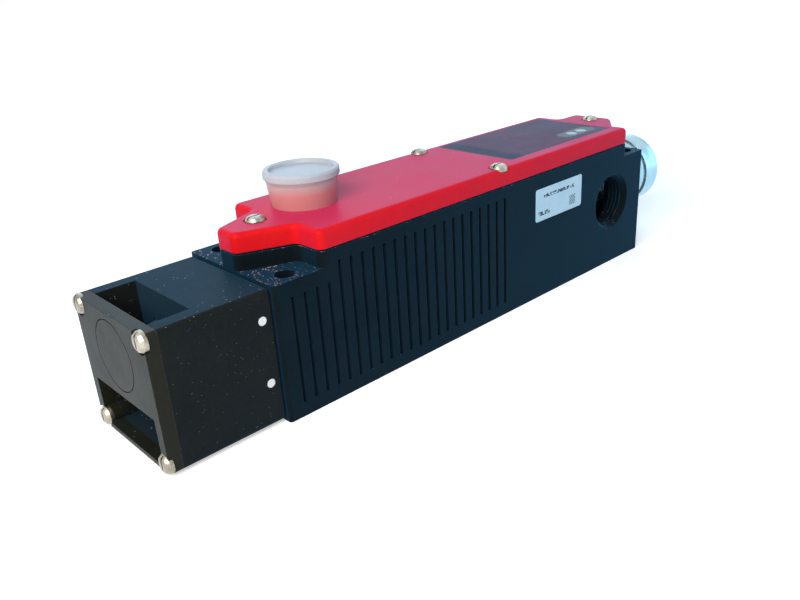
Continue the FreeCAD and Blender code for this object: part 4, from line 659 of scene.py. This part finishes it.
def spun(profile, centre, axis, steps):
    """Closed ring: (along, radius) points joined in a loop and spun about the axis through centre."""
    mesh = bmesh.new()
    along = Vector(axis)
    across = Vector((0, 0, 1))
    ring = [mesh.verts.new(Vector(centre) + along * a + across * r) for a, r in profile]
    edges = [mesh.edges.new((ring[i - 1], ring[i])) for i in range(len(ring))]
    bmesh.ops.spin(
        mesh, geom=ring + edges, cent=centre, axis=along, angle=2 * math.pi, steps=steps, use_merge=True,
    )
    bmesh.ops.remove_doubles(mesh, verts=mesh.verts, dist=JOIN_DISTANCE)
    return mesh


def thread_profile(start, crest, root, pitch, count, wall):
    """Saw profile of a thread from root to crest, closed by its wall."""
    points = [(start, wall), (start, root)]
    for i in range(count):
        foot = start + i * pitch
        points += [(foot + share * pitch, crest if high else root) for share, high in THREAD_SAW]
    end = start + count * pitch
    return points + [(end, root), (end, wall)]


def entry_thread(material):
    """Thread turns just inside the cable entry."""
    profile = thread_profile(
        THREAD_START, ENTRY_R - THREAD_CREST, ENTRY_R - THREAD_ROOT, THREAD_PITCH, THREAD_TURNS,
        ENTRY_R + THREAD_WALL,
    )
    centre = Vector((ENTRY_X, BASE_LOW.y, ENTRY_Z))
    mesh = spun(profile, centre, (0, 1, 0), THREAD_STEPS)
    piece("entry_thread", mesh, material, "housing")


# ---------------------------------------------------------------- camera, light and floor
CAMERA_PLACE = Vector((-0.1798, -0.1711, 0.1112))
CAMERA_LOOK = Vector((0.6116, 0.6798, -0.4047)).normalized()
CAMERA_SIDE = Vector((0.7246, -0.6867, -0.0584)).normalized()
CAMERA_LENS = 35.18
CAMERA_FILM = 36.0
CAMERA_NEAR = 0.01

FLOOR_SIZE = 4.0
FLOOR_NEAR = (0.46, 0.44, 0.42)
FLOOR_CLEAR_FROM = 0.15     # from the origin, where the floor starts to pale
FLOOR_CLEAR_SLOPE = 1.8     # per metre

# name, place, size, watts, colour
LIGHTS = [
    ("key", (-0.38, -0.18, 0.31), 0.32, 2.7, (1.0, 0.93, 0.84)),
    ("sky", (0.40, 0.55, 0.60), 0.9, 3.6, (0.40, 0.73, 1.0)),
    ("fill", (0.60, -0.55, 0.22), 0.7, 1.6, (0.35, 0.70, 1.0)),
]


def camera():
    data = bpy.data.cameras.new("camera")
    data.lens = CAMERA_LENS
    data.sensor_width = CAMERA_FILM
    data.clip_start = CAMERA_NEAR
    made = bpy.data.objects.new("camera", data)
    up = CAMERA_SIDE.cross(CAMERA_LOOK)
    turn = Matrix((CAMERA_SIDE, up, -CAMERA_LOOK)).transposed()
    made.matrix_world = Matrix.Translation(CAMERA_PLACE) @ turn.to_4x4()
    bpy.context.scene.collection.objects.link(made)
    bpy.context.scene.camera = made


def soft_light(name, place, target, size, watts, colour):
    data = bpy.data.lights.new(name, "AREA")
    data.size = size
    data.energy = watts
    data.color = colour
    made = bpy.data.objects.new(name, data)
    made.location = place
    made.rotation_euler = (Vector(target) - Vector(place)).to_track_quat("-Z", "Y").to_euler()
    bpy.context.scene.collection.objects.link(made)


def seen_directly(tree):
    """1 for camera, glossy and transmission rays."""
    path = add(tree, "LightPath")
    first = calc(tree, "MAXIMUM", path.outputs["Is Camera Ray"], path.outputs["Is Glossy Ray"])
    return calc(tree, "MAXIMUM", first, path.outputs["Is Transmission Ray"])


def surroundings():
    """White as far as it is seen, a dim cool sky as far as it lights."""
    world = bpy.data.worlds.new("surroundings")
    bpy.context.scene.world = world
    world.use_nodes = True
    tree = world.node_tree
    sky = blend(tree, seen_directly(tree), (0.22, 0.28, 0.36), (1.0, 1.0, 1.0))
    tree.links.new(sky, tree.nodes["Background"].inputs["Color"])


def floor_material():
    """Pale floor, white away from the part; its glow is seen, and lights nothing matt."""
    material, tree, principled, place = blank(
        "pale floor", Base_Color=(0.86, 0.87, 0.88), Roughness=0.9, Specular_IOR_Level=0.1,
        Emission_Strength=1.0,
    )
    reach = add(tree, "VectorMath", operation="LENGTH")
    tree.links.new(place, reach.inputs[0])
    away = ramp(tree, reach.outputs["Value"], FLOOR_CLEAR_FROM, FLOOR_CLEAR_SLOPE)
    pale = blend(tree, away, FLOOR_NEAR, (1.0, 1.0, 1.0))
    glow = blend(tree, seen_directly(tree), (0, 0, 0), pale)
    tree.links.new(glow, principled.inputs["Emission Color"])
    return material


def floor():
    """Plain pale floor that keeps the shadow."""
    mesh = bmesh.new()
    bmesh.ops.create_grid(mesh, x_segments=1, y_segments=1, size=FLOOR_SIZE)
    data = bpy.data.meshes.new("floor")
    mesh.to_mesh(data)
    mesh.free()
    made = bpy.data.objects.new("floor", data)
    data.materials.append(floor_material())
    bpy.context.scene.collection.objects.link(made)


entry_thread(finish_nodes())
camera()
surroundings()
floor()
for light_name, place, size, watts, colour in LIGHTS:
    soft_light(light_name, place, (BASE_LOW + BASE_HIGH) / 2, size, watts, colour)

bpy.context.scene.view_settings.view_transform = "Standard"
